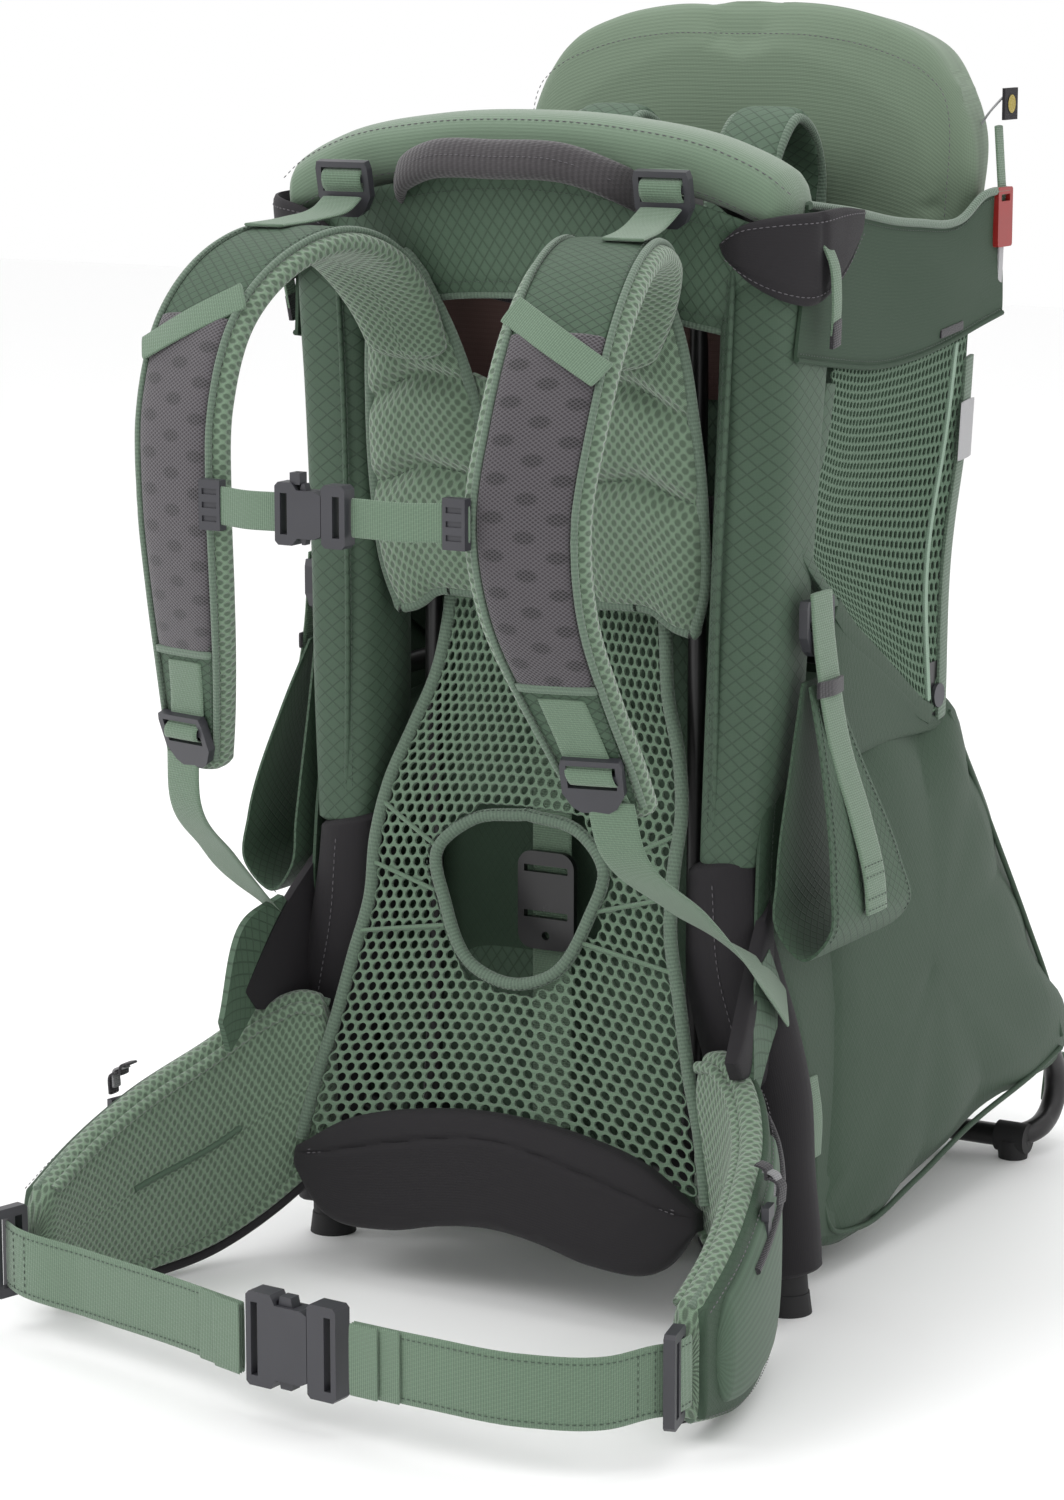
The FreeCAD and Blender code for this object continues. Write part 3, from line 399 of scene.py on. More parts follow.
def wovenFinish(name, base, thread=0.0007, ribs=0.35, sheen=0.25, roughness=0.75, streak=0.08):
    # plain woven cloth: fine ribs across, slight unevenness
    finish, tree, shader = startFinish(name, roughness, sheen)
    coords, u, v = uvParts(tree)
    weave = calc(tree, "MULTIPLY", wave(tree, u, thread), wave(tree, v, thread))
    ribbed = calc(tree, "MULTIPLY_ADD", wave(tree, v, thread * 2.6), ribs,
                  calc(tree, "MULTIPLY", weave, 1 - ribs))
    cloudy = mottled(tree, coords.outputs["Object"], 9)
    colour = tint(tree, ribbed, shade(base, 0.86), shade(base, 1.14))
    colour = over(tree, calc(tree, "MULTIPLY", cloudy, streak * 3), colour, shade(base, 0.72))
    endFinish(tree, shader, colour, ribbed, 0.0003)
    return finish


def ripstopFinish(name, base, pitch=0.0062, line=0.13, sheen=0.2, contrast=0.62):
    # cloth with a lattice of thicker threads that makes small diamonds
    finish, tree, shader = startFinish(name, 0.6, sheen)
    coords, u, v = uvParts(tree)
    a = calc(tree, "ADD", calc(tree, "DIVIDE", u, pitch), calc(tree, "DIVIDE", v, pitch * 1.35))
    b = calc(tree, "SUBTRACT", calc(tree, "DIVIDE", u, pitch), calc(tree, "DIVIDE", v, pitch * 1.35))
    near = calc(tree, "MINIMUM", calc(tree, "PINGPONG", a, 0.5), calc(tree, "PINGPONG", b, 0.5))
    threads = calc(tree, "SUBTRACT", 1.0, band(tree, near, 0.02, line))
    weave = calc(tree, "MULTIPLY", wave(tree, u, 0.0008), wave(tree, v, 0.0008))
    cloudy = mottled(tree, coords.outputs["Object"], 12)
    colour = tint(tree, calc(tree, "MULTIPLY_ADD", weave, 0.5, calc(tree, "MULTIPLY", cloudy, 0.5)),
                  shade(base, 0.86), shade(base, 1.18))
    colour = over(tree, calc(tree, "MULTIPLY", threads, 0.75), colour, shade(base, contrast))
    height = calc(tree, "MULTIPLY_ADD", threads, 0.8, calc(tree, "MULTIPLY", weave, 0.2))
    endFinish(tree, shader, colour, height, 0.0004)
    return finish


def honeycombFinish(name, base, pitchU=0.0052, pitchV=0.0072):
    # spacer mesh: soft cells in a lighter knit, the sunken cells darkened with painted shade
    finish, tree, shader = startFinish(name, 0.85, 0.4, 0.2)
    coords, u, v = uvParts(tree)
    cell = band(tree, hexDots(tree, u, v, pitchU, pitchV), 0.16, 0.36)
    knit = calc(tree, "MULTIPLY", wave(tree, calc(tree, "ADD", u, v), 0.0009),
                wave(tree, calc(tree, "SUBTRACT", u, v), 0.0009))
    light = tint(tree, knit, shade(base, 0.80), shade(base, 1.35))
    # painted shade: the darker colour given to the sunken cells
    dark = tint(tree, knit, shade(base, 0.42), shade(base, 0.62))
    colour = over(tree, cell, dark, light)
    height = calc(tree, "MULTIPLY_ADD", knit, 0.15, cell)
    endFinish(tree, shader, colour, height, 0.0008, 0.8)
    return finish


def pocketFinish(name, base, thread):
    # fine stretch net over a darker lining
    finish, tree, shader = startFinish(name, 0.7, 0.3)
    coords, u, v = uvParts(tree)
    cell = band(tree, hexDots(tree, u, v, 0.0021, 0.0029), 0.18, 0.36)
    cloudy = mottled(tree, coords.outputs["Object"], 26)
    lining = tint(tree, cloudy, shade(base, 0.35), shade(base, 0.75))
    # cut-outs in the foam below show through as soft spots of painted shade
    cutoutShade = band(tree, hexDots(tree, u, v, 0.019, 0.034), 0.12, 0.22)
    lining = over(tree, calc(tree, "SUBTRACT", 1.0, cutoutShade), lining, shade(base, 0.14))
    colour = over(tree, calc(tree, "MULTIPLY", cell, calc(tree, "MULTIPLY_ADD", cutoutShade, 0.3, 0.7)), lining,
                  thread)
    endFinish(tree, shader, colour, cell, 0.0004, 0.7)
    return finish


def webbingFinish(name, base, across=0.00135):
    # woven tape: ribs across its width and a fine twill along it
    finish, tree, shader = startFinish(name, 0.7, 0.25)
    coords, u, v = uvParts(tree)
    rib = wave(tree, u, across)
    fine = wave(tree, v, 0.0011)
    slant = wave(tree, calc(tree, "ADD", calc(tree, "MULTIPLY", u, 0.4), v), 0.0024)
    height = calc(tree, "MULTIPLY_ADD", rib, 0.6, calc(tree, "MULTIPLY", calc(tree, "MULTIPLY", fine, slant),
                                                       0.4))
    cloudy = mottled(tree, coords.outputs["Object"], 30)
    colour = tint(tree, height, shade(base, 0.74), shade(base, 1.16))
    colour = over(tree, calc(tree, "MULTIPLY", cloudy, 0.16), colour, shade(base, 0.7))
    endFinish(tree, shader, colour, height, 0.0005, 0.8)
    return finish


def mouldedFinish(name, base, roughness=0.42, grain=900.0, depth=0.00006):
    finish, tree, shader = startFinish(name, roughness, 0, 0.5)
    coords = add(tree, "TexCoord")
    grainy = mottled(tree, coords.outputs["Object"], grain, 2)
    worn = mottled(tree, coords.outputs["Object"], 40, 4)
    colour = tint(tree, worn, shade(base, 0.82), shade(base, 1.22))
    tree.links.new(calc(tree, "MULTIPLY_ADD", worn, 0.18, roughness - 0.09), shader.inputs["Roughness"])
    endFinish(tree, shader, colour, grainy, depth, 0.5)
    return finish


def metalFinish(name, base, roughness):
    finish, tree, shader = startFinish(name, roughness, 0, 0.5)
    shader.inputs["Metallic"].default_value = 0.9
    coords = add(tree, "TexCoord")
    brushed = mottled(tree, coords.outputs["Object"], 300, 2)
    colour = tint(tree, brushed, shade(base, 0.8), shade(base, 1.1))
    endFinish(tree, shader, colour, brushed, 0.00005, 0.4)
    return finish


palette = {
    "sage": srgb(132, 158, 132), "dome": srgb(142, 164, 139), "flap": srgb(66, 90, 70),
    "bag": srgb(68, 92, 72),
    "lining": srgb(64, 86, 68), "pocket": srgb(96, 120, 100), "panel": srgb(98, 124, 102),
    "column": srgb(88, 112, 92), "strap": srgb(84, 110, 88), "spacer": srgb(150, 178, 150),
    "charcoal": srgb(46, 43, 47), "handle": srgb(84, 80, 83), "mauve": srgb(92, 84, 90),
    "netThread": srgb(112, 108, 113), "net": srgb(126, 154, 128), "sideNet": srgb(112, 140, 116),
    "tape": srgb(134, 162, 136), "binding": srgb(126, 149, 129), "darkTape": srgb(58, 55, 60),
    "greyTape": srgb(170, 170, 172), "thread": srgb(78, 96, 82), "paleThread": srgb(120, 116, 122),
    "paleGreen": srgb(176, 204, 182), "tan": srgb(126, 96, 92), "white": srgb(222, 222, 224),
    "yellow": srgb(214, 190, 60), "red": srgb(176, 42, 38), "plastic": srgb(70, 70, 76),
    "black": srgb(34, 33, 35), "rubber": srgb(30, 29, 31), "tube": srgb(34, 32, 34),
    "steel": (0.10, 0.10, 0.11),
}
domeCloth = wovenFinish("dome_cloth", palette["dome"], 0.0009, 0.45, 0.12)
rimCloth = wovenFinish("rim_cloth", palette["sage"], 0.0008, 0.5, 0.35)
flapCloth = wovenFinish("flap_cloth", palette["flap"], 0.0007, 0.3, 0.04)
bagCloth = ripstopFinish("bag_cloth", palette["bag"], 0.0048, 0.09, 0.04, 0.86)
liningCloth = wovenFinish("lining_cloth", palette["lining"], 0.0016, 0.4, 0.05)
pocketCloth = wovenFinish("pocket_cloth", palette["pocket"], 0.0021, 0.8, 0.1)
charcoalCloth = wovenFinish("charcoal_cloth", palette["charcoal"], 0.0005, 0.2, 0.03, 0.7)
handleCloth = webbingFinish("handle_cloth", palette["handle"], 0.0034)
panelCloth = ripstopFinish("panel_cloth", palette["panel"], 0.0075, 0.12, 0.05, 0.55)
columnCloth = ripstopFinish("column_cloth", palette["column"], 0.0085, 0.10, 0.05, 0.62)
strapCloth = ripstopFinish("strap_cloth", palette["strap"], 0.0060, 0.13, 0.05, 0.5)
spacerCloth = honeycombFinish("spacer_cloth", palette["spacer"])
netPocket = pocketFinish("net_pocket", palette["mauve"], palette["netThread"])
netCloth = wovenFinish("net_cloth", palette["net"], 0.0012, 0.4, 0.3)
sideNetCloth = wovenFinish("side_net_cloth", palette["sideNet"], 0.0012, 0.4, 0.05)
tape = webbingFinish("tape", palette["tape"])
bindingTape = webbingFinish("binding_tape", palette["binding"], 0.0022)
darkTape = webbingFinish("dark_tape", palette["darkTape"])
plastic = mouldedFinish("moulded_plastic", palette["plastic"])
blackPlastic = mouldedFinish("black_plastic", palette["black"], 0.3)
redPlastic = mouldedFinish("red_plastic", palette["red"], 0.35)
rubber = mouldedFinish("rubber", palette["rubber"], 0.7, 500, 0.0001)
coatedTube = mouldedFinish("coated_tube", palette["tube"], 0.38, 1400, 0.00004)
steel = metalFinish("steel", palette["steel"], 0.45)
thread = wovenFinish("thread", palette["thread"], 0.0005)
paleThread = wovenFinish("pale_thread", palette["paleThread"], 0.0005)
labelCloth = wovenFinish("label_cloth", palette["white"], 0.0006, 0.2, 0.1)
paleGreen = wovenFinish("pale_green", palette["paleGreen"], 0.0012, 0.4, 0.05)
tanCloth = wovenFinish("tan_cloth", palette["tan"], 0.0012, 0.4, 0.05)
greyTape = webbingFinish("grey_tape", palette["greyTape"], 0.0012)
yellowCloth = wovenFinish("yellow_cloth", palette["yellow"], 0.0006)

carried = {
    coatedTube: ["main_frame", "lumbar_bar", "harness_rails", "seat_hoop", "rear_stand"],
    steel: ["backrest_stay", "hinge_pins"],
    blackPlastic: ["rail_clamps", "stand_knuckles", "stand_brackets", "torso_buckle"],
    rubber: ["front_feet", "rear_feet"],
    redPlastic: ["side_clips"],
    plastic: [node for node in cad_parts
              if node.startswith(("sternum_prong", "hip_prong", "zip_pull", "stirrup_lock"))]
             + ["lifter_locks", "strap_locks", "sternum_female", "sternum_male", "sternum_sliders",
                "hip_female",
                "hip_male", "triglides"],
}
for finish, names in carried.items():
    for name in names:
        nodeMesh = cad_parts[name].data
        nodeMesh.materials.clear()
        nodeMesh.materials.append(finish)
print("finishes made")


def nodeTree(name, inputs):
    tree = bpy.data.node_groups.new(name, "GeometryNodeTree")
    tree.interface.new_socket("Geometry", in_out="INPUT", socket_type="NodeSocketGeometry")
    for label, kind, value in inputs:
        socket = tree.interface.new_socket(label, in_out="INPUT", socket_type=kind)
        if value is not None:
            socket.default_value = value
    tree.interface.new_socket("Geometry", in_out="OUTPUT", socket_type="NodeSocketGeometry")
    start = tree.nodes.new("NodeGroupInput")
    end = tree.nodes.new("NodeGroupOutput")
    return tree, start, end


def grow(tree, kind, inputs=None, **settings):
    node = tree.nodes.new(kind)
    for key, value in settings.items():
        setattr(node, key, value)
    for key, value in (inputs or {}).items():
        if isinstance(value, bpy.types.NodeSocket):
            tree.links.new(value, node.inputs[key])
        else:
            node.inputs[key].default_value = value
    return node


def stitchTree():
    tree, start, end = nodeTree("stitches", [
        ("Pitch", "NodeSocketFloat", 0.003), ("Length", "NodeSocketFloat", 0.0021),
        ("Thickness", "NodeSocketFloat", 0.0005), ("Finish", "NodeSocketMaterial", None)])
    line = grow(tree, "GeometryNodeMeshToCurve", {"Mesh": start.outputs["Geometry"]})
    even = grow(tree, "GeometryNodeResampleCurve", {"Curve": line.outputs[0],
                                                    "Length": start.outputs["Pitch"]},
                mode="LENGTH")
    bead = grow(tree, "GeometryNodeMeshUVSphere", {"Segments": 5, "Rings": 4, "Radius": 0.5})
    size = grow(tree, "ShaderNodeCombineXYZ", {"X": start.outputs["Thickness"],
                                               "Y": start.outputs["Thickness"],
                                               "Z": start.outputs["Length"]})
    tangent = grow(tree, "GeometryNodeInputTangent")
    turn = grow(tree, "FunctionNodeAlignEulerToVector", {"Vector": tangent.outputs[0]}, axis="Z")
    copies = grow(tree, "GeometryNodeInstanceOnPoints", {"Points": even.outputs[0],
                                                         "Instance": bead.outputs[0],
                                                         "Rotation": turn.outputs[0],
                                                         "Scale": size.outputs[0]})
    real = grow(tree, "GeometryNodeRealizeInstances", {0: copies.outputs[0]})
    painted = grow(tree, "GeometryNodeSetMaterial", {"Geometry": real.outputs[0],
                                                     "Material": start.outputs["Finish"]})
    tree.links.new(painted.outputs[0], end.inputs[0])
    return tree


def netTree():
    # triangles turned into cells, each cell given a hole
    tree, start, end = nodeTree("net", [("Hole", "NodeSocketFloat", 0.68),
                                        ("Finish", "NodeSocketMaterial", None)])
    cells = grow(tree, "GeometryNodeDualMesh", {"Mesh": start.outputs["Geometry"]})
    inset = grow(tree, "GeometryNodeExtrudeMesh", {"Mesh": cells.outputs[0], "Offset Scale": 0.0,
                                                   "Individual": True})
    smaller = grow(tree, "GeometryNodeScaleElements", {"Geometry": inset.outputs["Mesh"],
                                                       "Selection": inset.outputs["Top"],
                                                       "Scale": start.outputs["Hole"]})
    opened = grow(tree, "GeometryNodeDeleteGeometry", {"Geometry": smaller.outputs[0],
                                                      "Selection": inset.outputs["Top"]}, domain="FACE")
    real = grow(tree, "GeometryNodeRealizeInstances", {0: opened.outputs[0]})
    painted = grow(tree, "GeometryNodeSetMaterial", {"Geometry": real.outputs[0],
                                                     "Material": start.outputs["Finish"]})
    tree.links.new(painted.outputs[0], end.inputs[0])
    return tree


stitches, net = stitchTree(), netTree()


def useTree(piece, tree, values):
    modifier = piece.modifiers.new(tree.name, "NODES")
    modifier.node_group = tree
    for item in tree.interface.items_tree:
        if item.in_out == "INPUT" and item.name in values:
            modifier[item.identifier] = values[item.name]
    return modifier


def sewn(name, lines, finish=None, pitch=0.0032, length=0.0022, thickness=0.0006):
    # one row of stitches along each line of points
    verts, edges = [], []
    for line in lines:
        points = [tuple(p[:3]) for p in line]
        edges += [(len(verts) + i, len(verts) + i + 1) for i in range(len(points) - 1)]
        verts += points
    mesh = bpy.data.meshes.new(name)
    mesh.from_pydata(verts, edges, [])
    piece = bpy.data.objects.new(name, mesh)
    scene.collection.objects.link(piece)
    useTree(piece, stitches, {"Pitch": pitch, "Length": length, "Thickness": thickness,
                              "Finish": finish or thread})
    piece = baked(piece)
    piece.data.polygons.foreach_set("use_smooth", [True] * len(piece.data.polygons))
    return piece


def onGrid(grid, normal, u, v, lift=0.0):
    # a point on a grid at shares u and v, lifted along its normal
    rows, columns = grid.shape[:2]
    x, y = np.clip(u, 0, 1) * (columns - 1), np.clip(v, 0, 1) * (rows - 1)
    i, j = min(int(x), columns - 2), min(int(y), rows - 2)
    a, b = x - i, y - j
    def mixed(field):
        return ((field[j, i] * (1 - a) + field[j, i + 1] * a) * (1 - b)
                + (field[j + 1, i] * (1 - a) + field[j + 1, i + 1] * a) * b)
    return mixed(grid) + mixed(normal) * lift


def netOn(name, grid, facing, pitch, stretch, hole, thick, finish, keep=None, rounded=0):
    # a net laid on a grid: a lattice of triangles in the grid's own shares, then cells with holes
    us, vs = gridLengths(grid)
    width, height = us[-1], vs[-1]
    normal = gridNormals(grid, facing)
    columns = max(4, int(width / pitch))
    rowsHigh = max(4, int(height / (pitch * 0.866 * stretch)))
    verts, index = [], {}
    for j in range(rowsHigh + 1):
        for i in range(columns + 1):
            u = (i + (0.5 if j % 2 else 0.0)) / (columns + 0.5)
            index[i, j] = len(verts)
            verts.append(onGrid(grid, normal, u, j / rowsHigh))
    faces = []
    for j in range(rowsHigh):
        for i in range(columns):
            a, b, c, d = index[i, j], index[i + 1, j], index[i, j + 1], index[i + 1, j + 1]
            faces += [(a, b, d), (a, d, c)] if j % 2 else [(a, b, c), (b, d, c)]
    if keep is not None:
        flags = [keep(verts[f[0]]) and keep(verts[f[1]]) and keep(verts[f[2]]) for f in faces]
        faces = [f for f, flag in zip(faces, flags) if flag]
    used = sorted({i for f in faces for i in f})
    renamed = {old: new for new, old in enumerate(used)}
    mesh = bpy.data.meshes.new(name)
    mesh.from_pydata([tuple(verts[i]) for i in used], [], [[renamed[i] for i in f] for f in faces])
    piece = bpy.data.objects.new(name, mesh)
    scene.collection.objects.link(piece)
    useTree(piece, net, {"Hole": hole, "Finish": finish})
    if rounded:
        soft = piece.modifiers.new("Rounded", "SUBSURF")
        soft.levels = soft.render_levels = rounded
    wall = piece.modifiers.new("Thick", "SOLIDIFY")
    wall.thickness = thick
    wall.offset = 0
    piece = baked(piece)
    layer = piece.data.uv_layers.get("UVMap") or piece.data.uv_layers.new(name="UVMap")
    points = np.array([v.co for v in piece.data.vertices])
    corner = np.array([loop.vertex_index for loop in piece.data.loops])
    layer.data.foreach_set("uv", points[corner][:, [0, 2]].astype(np.float32).ravel())
    if abs(np.array(facing)[0]) > 0.7:
        layer.data.foreach_set("uv", points[corner][:, [1, 2]].astype(np.float32).ravel())
    return piece


cameraValues = {"place": (1138.3, -1992.3, 744.4), "azimuth": 30.05, "elevation": 10.93,
                "lens": 100.8, "sensor": 36}
studioValues = {"key": 30, "side": 5, "top": 22, "world": 1.0, "floor": 0.97, "floorHalf": 6}


def makeCamera(values):
    data = bpy.data.cameras.new("camera")
    camera = bpy.data.objects.new("camera", data)
    scene.collection.objects.link(camera)
    a, e = math.radians(values["azimuth"]), math.radians(values["elevation"])
    look = Vector((-math.sin(a) * math.cos(e), math.cos(a) * math.cos(e), -math.sin(e)))
    camera.location = at(*values["place"])
    camera.rotation_euler = look.to_track_quat("-Z", "Y").to_euler()
    data.lens, data.sensor_width = values["lens"], values["sensor"]
    data.clip_start, data.clip_end = 0.05, 30
    scene.camera = camera


def makeLight(name, spot, size, power, target=(0, 0.05, 0.3)):
    data = bpy.data.lights.new(name, "AREA")
    data.shape, data.size, data.energy = "SQUARE", size, power
    light = bpy.data.objects.new(name, data)
    scene.collection.objects.link(light)
    light.location = spot
    light.rotation_euler = (Vector(target) - Vector(spot)).to_track_quat("-Z", "Y").to_euler()


def makeStudio(values):
    makeLight("keyLight", (-1.6, -1.9, 2.3), 1.6, values["key"])
    makeLight("sideLight", (2.6, -0.6, 1.7), 1.8, values["side"])
    makeLight("topLight", (0.1, 0.5, 2.8), 2.2, values["top"])
    world = bpy.data.worlds.new("studio")
    scene.world = world
    world.use_nodes = True
    world.node_tree.nodes["Background"].inputs["Color"].default_value = (1, 1, 1, 1)
    world.node_tree.nodes["Background"].inputs["Strength"].default_value = values["world"]
    mesh = bpy.data.meshes.new("floor")
    half = values["floorHalf"]
    mesh.from_pydata([(-half, -half, 0), (half, -half, 0), (half, half, 0), (-half, half, 0)], [],
                     [(0, 1, 2, 3)])
    floor = bpy.data.objects.new("floor", mesh)
    scene.collection.objects.link(floor)
    finish, tree, shader = startFinish("floor_paint", 0.6)
    shader.inputs["Base Color"].default_value = (*[values["floor"]] * 3, 1)
    mesh.materials.append(finish)
    scene.view_settings.view_transform = "Standard"


makeCamera(cameraValues)
makeStudio(studioValues)
print("camera and studio made")


def pts(*rows):
    return [at(*row) for row in rows]


def sided(side, *rows):
    return [at(side * x, y, z) for x, y, z in rows]


def both(half):
    # half a line from the middle outwards becomes a line from the right side to the left
    return [(-x, y, z) for x, y, z in reversed(half)] + [p for p in half if p[0] > 0]


def strip(name, rows, width, thick, finish, across=None, outward=None, steps=40):
    # flat webbing: rows are places, or places with their own directions
    full = []
    for row in rows:
        plain = isinstance(row[0], (int, float))
        centre, acrossHere, outwardHere = (row, across, outward) if plain else row
        full.append(rowAt(centre, acrossHere, outwardHere, width, thick))
    return sweep(name, full, finish, steps, 12, 6, 0.0008, 60)


def gridLine(grid, normal, shares, lift):
    return [onGrid(grid, normal, u, v, lift) for u, v in shares]


def hungCloth(piece):
    # leaves the piece as it is
    return piece


rimValues = {"depth": 45, "height": 35,
             "line": [(0, -21, 637), (60, -20, 634), (120, -16, 622), (147, -12.5, 609), (156, -11, 602)],
             "seams": [(-12, -19), (13, -17.5)],        # drop and set-back of each row of stitches
             "handle": [(-74, -36, 612), (-66, -50, 619), (-44, -60, 628), (0, -64, 630), (44, -60, 628),
                        (66, -50, 619), (74, -36, 612)]}


def makeRim(values):
    rows = [rowAt(p, (0, 1, 0.05), (0, -0.05, 1), values["depth"], values["height"])
            for p in both(values["line"])]
    rim = sweep("padded_rim", rows, rimCloth, 150, 40, 2.5, 0.012)
    place(rim, "frame", ["rim_pad"])
    seams = []
    for drop, back in values["seams"]:
        seams.append(spline(pts(*[(x, y + back, z + drop) for x, y, z in both(values["line"])]), 160))
    place(sewn("rim_stitches", seams, paleThread, 0.0042, 0.0028, 0.0006), "frame")
    loop = pts(*values["handle"])
    rows = [[*p, 0, 0.35, 1, 0, -1, 0.35, 0.021, 0.016] for p in loop]
    grip = sweep("carry_handle", rows, handleCloth, 100, 24, 2.4, 0.004)
    seam = [spline([(p[0], p[1] - 0.0082, p[2] + 0.002) for p in loop[1:-1]], 80)]
    trim = sewn("handle_seam", seam, paleThread, 0.0034, 0.0022, 0.0006)
    handle = joined("carry_handle", [grip, trim])
    place(handle, "handle", ["grab_handle"])


panelValues = {"bottom": [(0, -32, 556), (61, -29, 552), (100, -21, 543), (141, -11, 536)],
               "top": [(0, -42, 622), (60, -40, 617), (110, -36, 607), (150, -30, 594)]}


def makeFrontPanel(values):
    bottom, top = pts(*both(values["bottom"])), pts(*both(values["top"]))
    grid = sheetGrid(bottom, top, [bottom[0], top[0]], [bottom[-1], top[-1]], 90, 26)
    height = puffed(90, 26, 0.004, 3, 0.1)
    height = grooved(height, [[(0.06, 0.1), (0.94, 0.1)]], 0.02, 0.5)
    panel = padOn("front_cover", grid, height, 0.001, (0, -1, 0), panelCloth)
    place(panel, "frame", ["front_panel"])
    lip = cordAlong("front_piping", [grid[0, i] for i in range(0, 90, 8)] + [grid[0, -1]], 0.0022,
                    bindingTape, 90)
    place(lip, "frame")
    normal = gridNormals(grid, (0, -1, 0))
    rows = [gridLine(grid, normal, [(u, v) for u in np.linspace(0.03, 0.97, 60)], 0.0038)
            for v in (0.12, 0.88)]
    place(sewn("front_stitches", rows, thread), "frame")


makeRim(rimValues)
makeFrontPanel(panelValues)


columnValues = {
    # height, then the inner and outer reach, the front and the back
    "stations": [(250, 104, 140, -34, 22), (330, 104, 146, -30, 28), (400, 105, 149, -27, 30),
                 (495, 107, 154, -25, 33), (560, 110, 157, -26, 34), (592, 112, 158, -24, 34)],
    "seam": [(113, -32, 262), (114, -30, 400), (117, -28, 495), (121, -28, 585)],
    "fold": [(117, -31.5, 256), (117, -29, 400), (120, -27, 495), (124, -27.5, 586)],
}
sleeveValues = {
    # place, then width and depth
    "stations": [(118, -18, 258, 41, 40), (119, -18, 228, 46, 42), (122, -18, 198, 53, 42),
                 (130, -15, 161, 58, 42),
                 (139, -12, 126, 54, 40), (144, -7, 76, 46, 38), (146.5, -3, 44, 44, 37),
                 (148, -1, 20, 42, 36)],
    # place, then how far in front of it the stitches lie
    "seam": [(120, -18, 244, 21.6), (124, -18, 198, 21.8), (133, -15, 161, 21.8), (141, -12, 126, 20.8),
             (145, -7, 76, 19.4)],
}


def makeColumn(side, label):
    rows = []
    for z, near, far, front, rear in columnValues["stations"]:
        rows.append([*at(side * (near + far) / 2, (front + rear) / 2, z), side, 0, 0, 0, -1, 0,
                     (far - near) / 1000, (rear - front) / 1000])
    body = sweep("column_" + label, rows, columnCloth, 90, 36, 3.6, 0.006)
    edge = spline(sided(side, *columnValues["seam"]), 120)
    seam = sewn("column_seam_" + label, [edge], thread, 0.0034, 0.0024, 0.0006)
    fold = cordAlong("column_fold_" + label, sided(side, *columnValues["fold"]), 0.0016, columnCloth, 80)
    return joined("column_" + label, [body, fold, seam])


def makeSleeve(side, label):
    rows = []
    for x, y, z, wide, deep in sleeveValues["stations"]:
        rows.append([*at(side * x, y, z), side, 0, 0.2 * side, 0, -1, 0, wide / 1000, deep / 1000])
    body = sweep("sleeve_" + label, rows, charcoalCloth, 90, 32, 2.1, 0.005)
    line = [at(side * x, y - reach * 0.98, z) for x, y, z, reach in sleeveValues["seam"]]
    seam = sewn("sleeve_seam_" + label, [spline(line, 90)], paleThread, 0.004, 0.0026, 0.0006)
    return joined("sleeve_" + label, [body, seam])


for label, side in sides.items():
    place(makeColumn(side, label), "frame", ["columns"])
for label, side in sides.items():
    place(makeSleeve(side, label), "frame", ["leg_sleeves"])


sideValues = {
    "flapTop": [(-9, 609), (43, 603), (103, 594), (125, 592), (185, 591), (216, 603), (246, 604)],
    "flapHem": [(-19, 527), (30, 520), (76, 515), (128, 516), (192, 524), (218, 528), (246, 532)],
    "netTop": [(33, 524), (76, 518), (128, 519), (192, 527), (212, 530)],
    "netBottom": [(44, 388), (60, 374), (95, 352), (130, 330), (160, 312), (184, 304)],
    "netFront": [(148, 6, 430), (150, 24, 480)], "netRear": [(149, 191, 400), (151, 206, 470)],
    "netPitch": 0.0047, "netHole": 0.66, "netBulge": 0.010,
    "slit": [(158.5, 158, 527), (158.5, 188, 530)], "label": [(154, 207, 486), (154, 203, 452)],
}


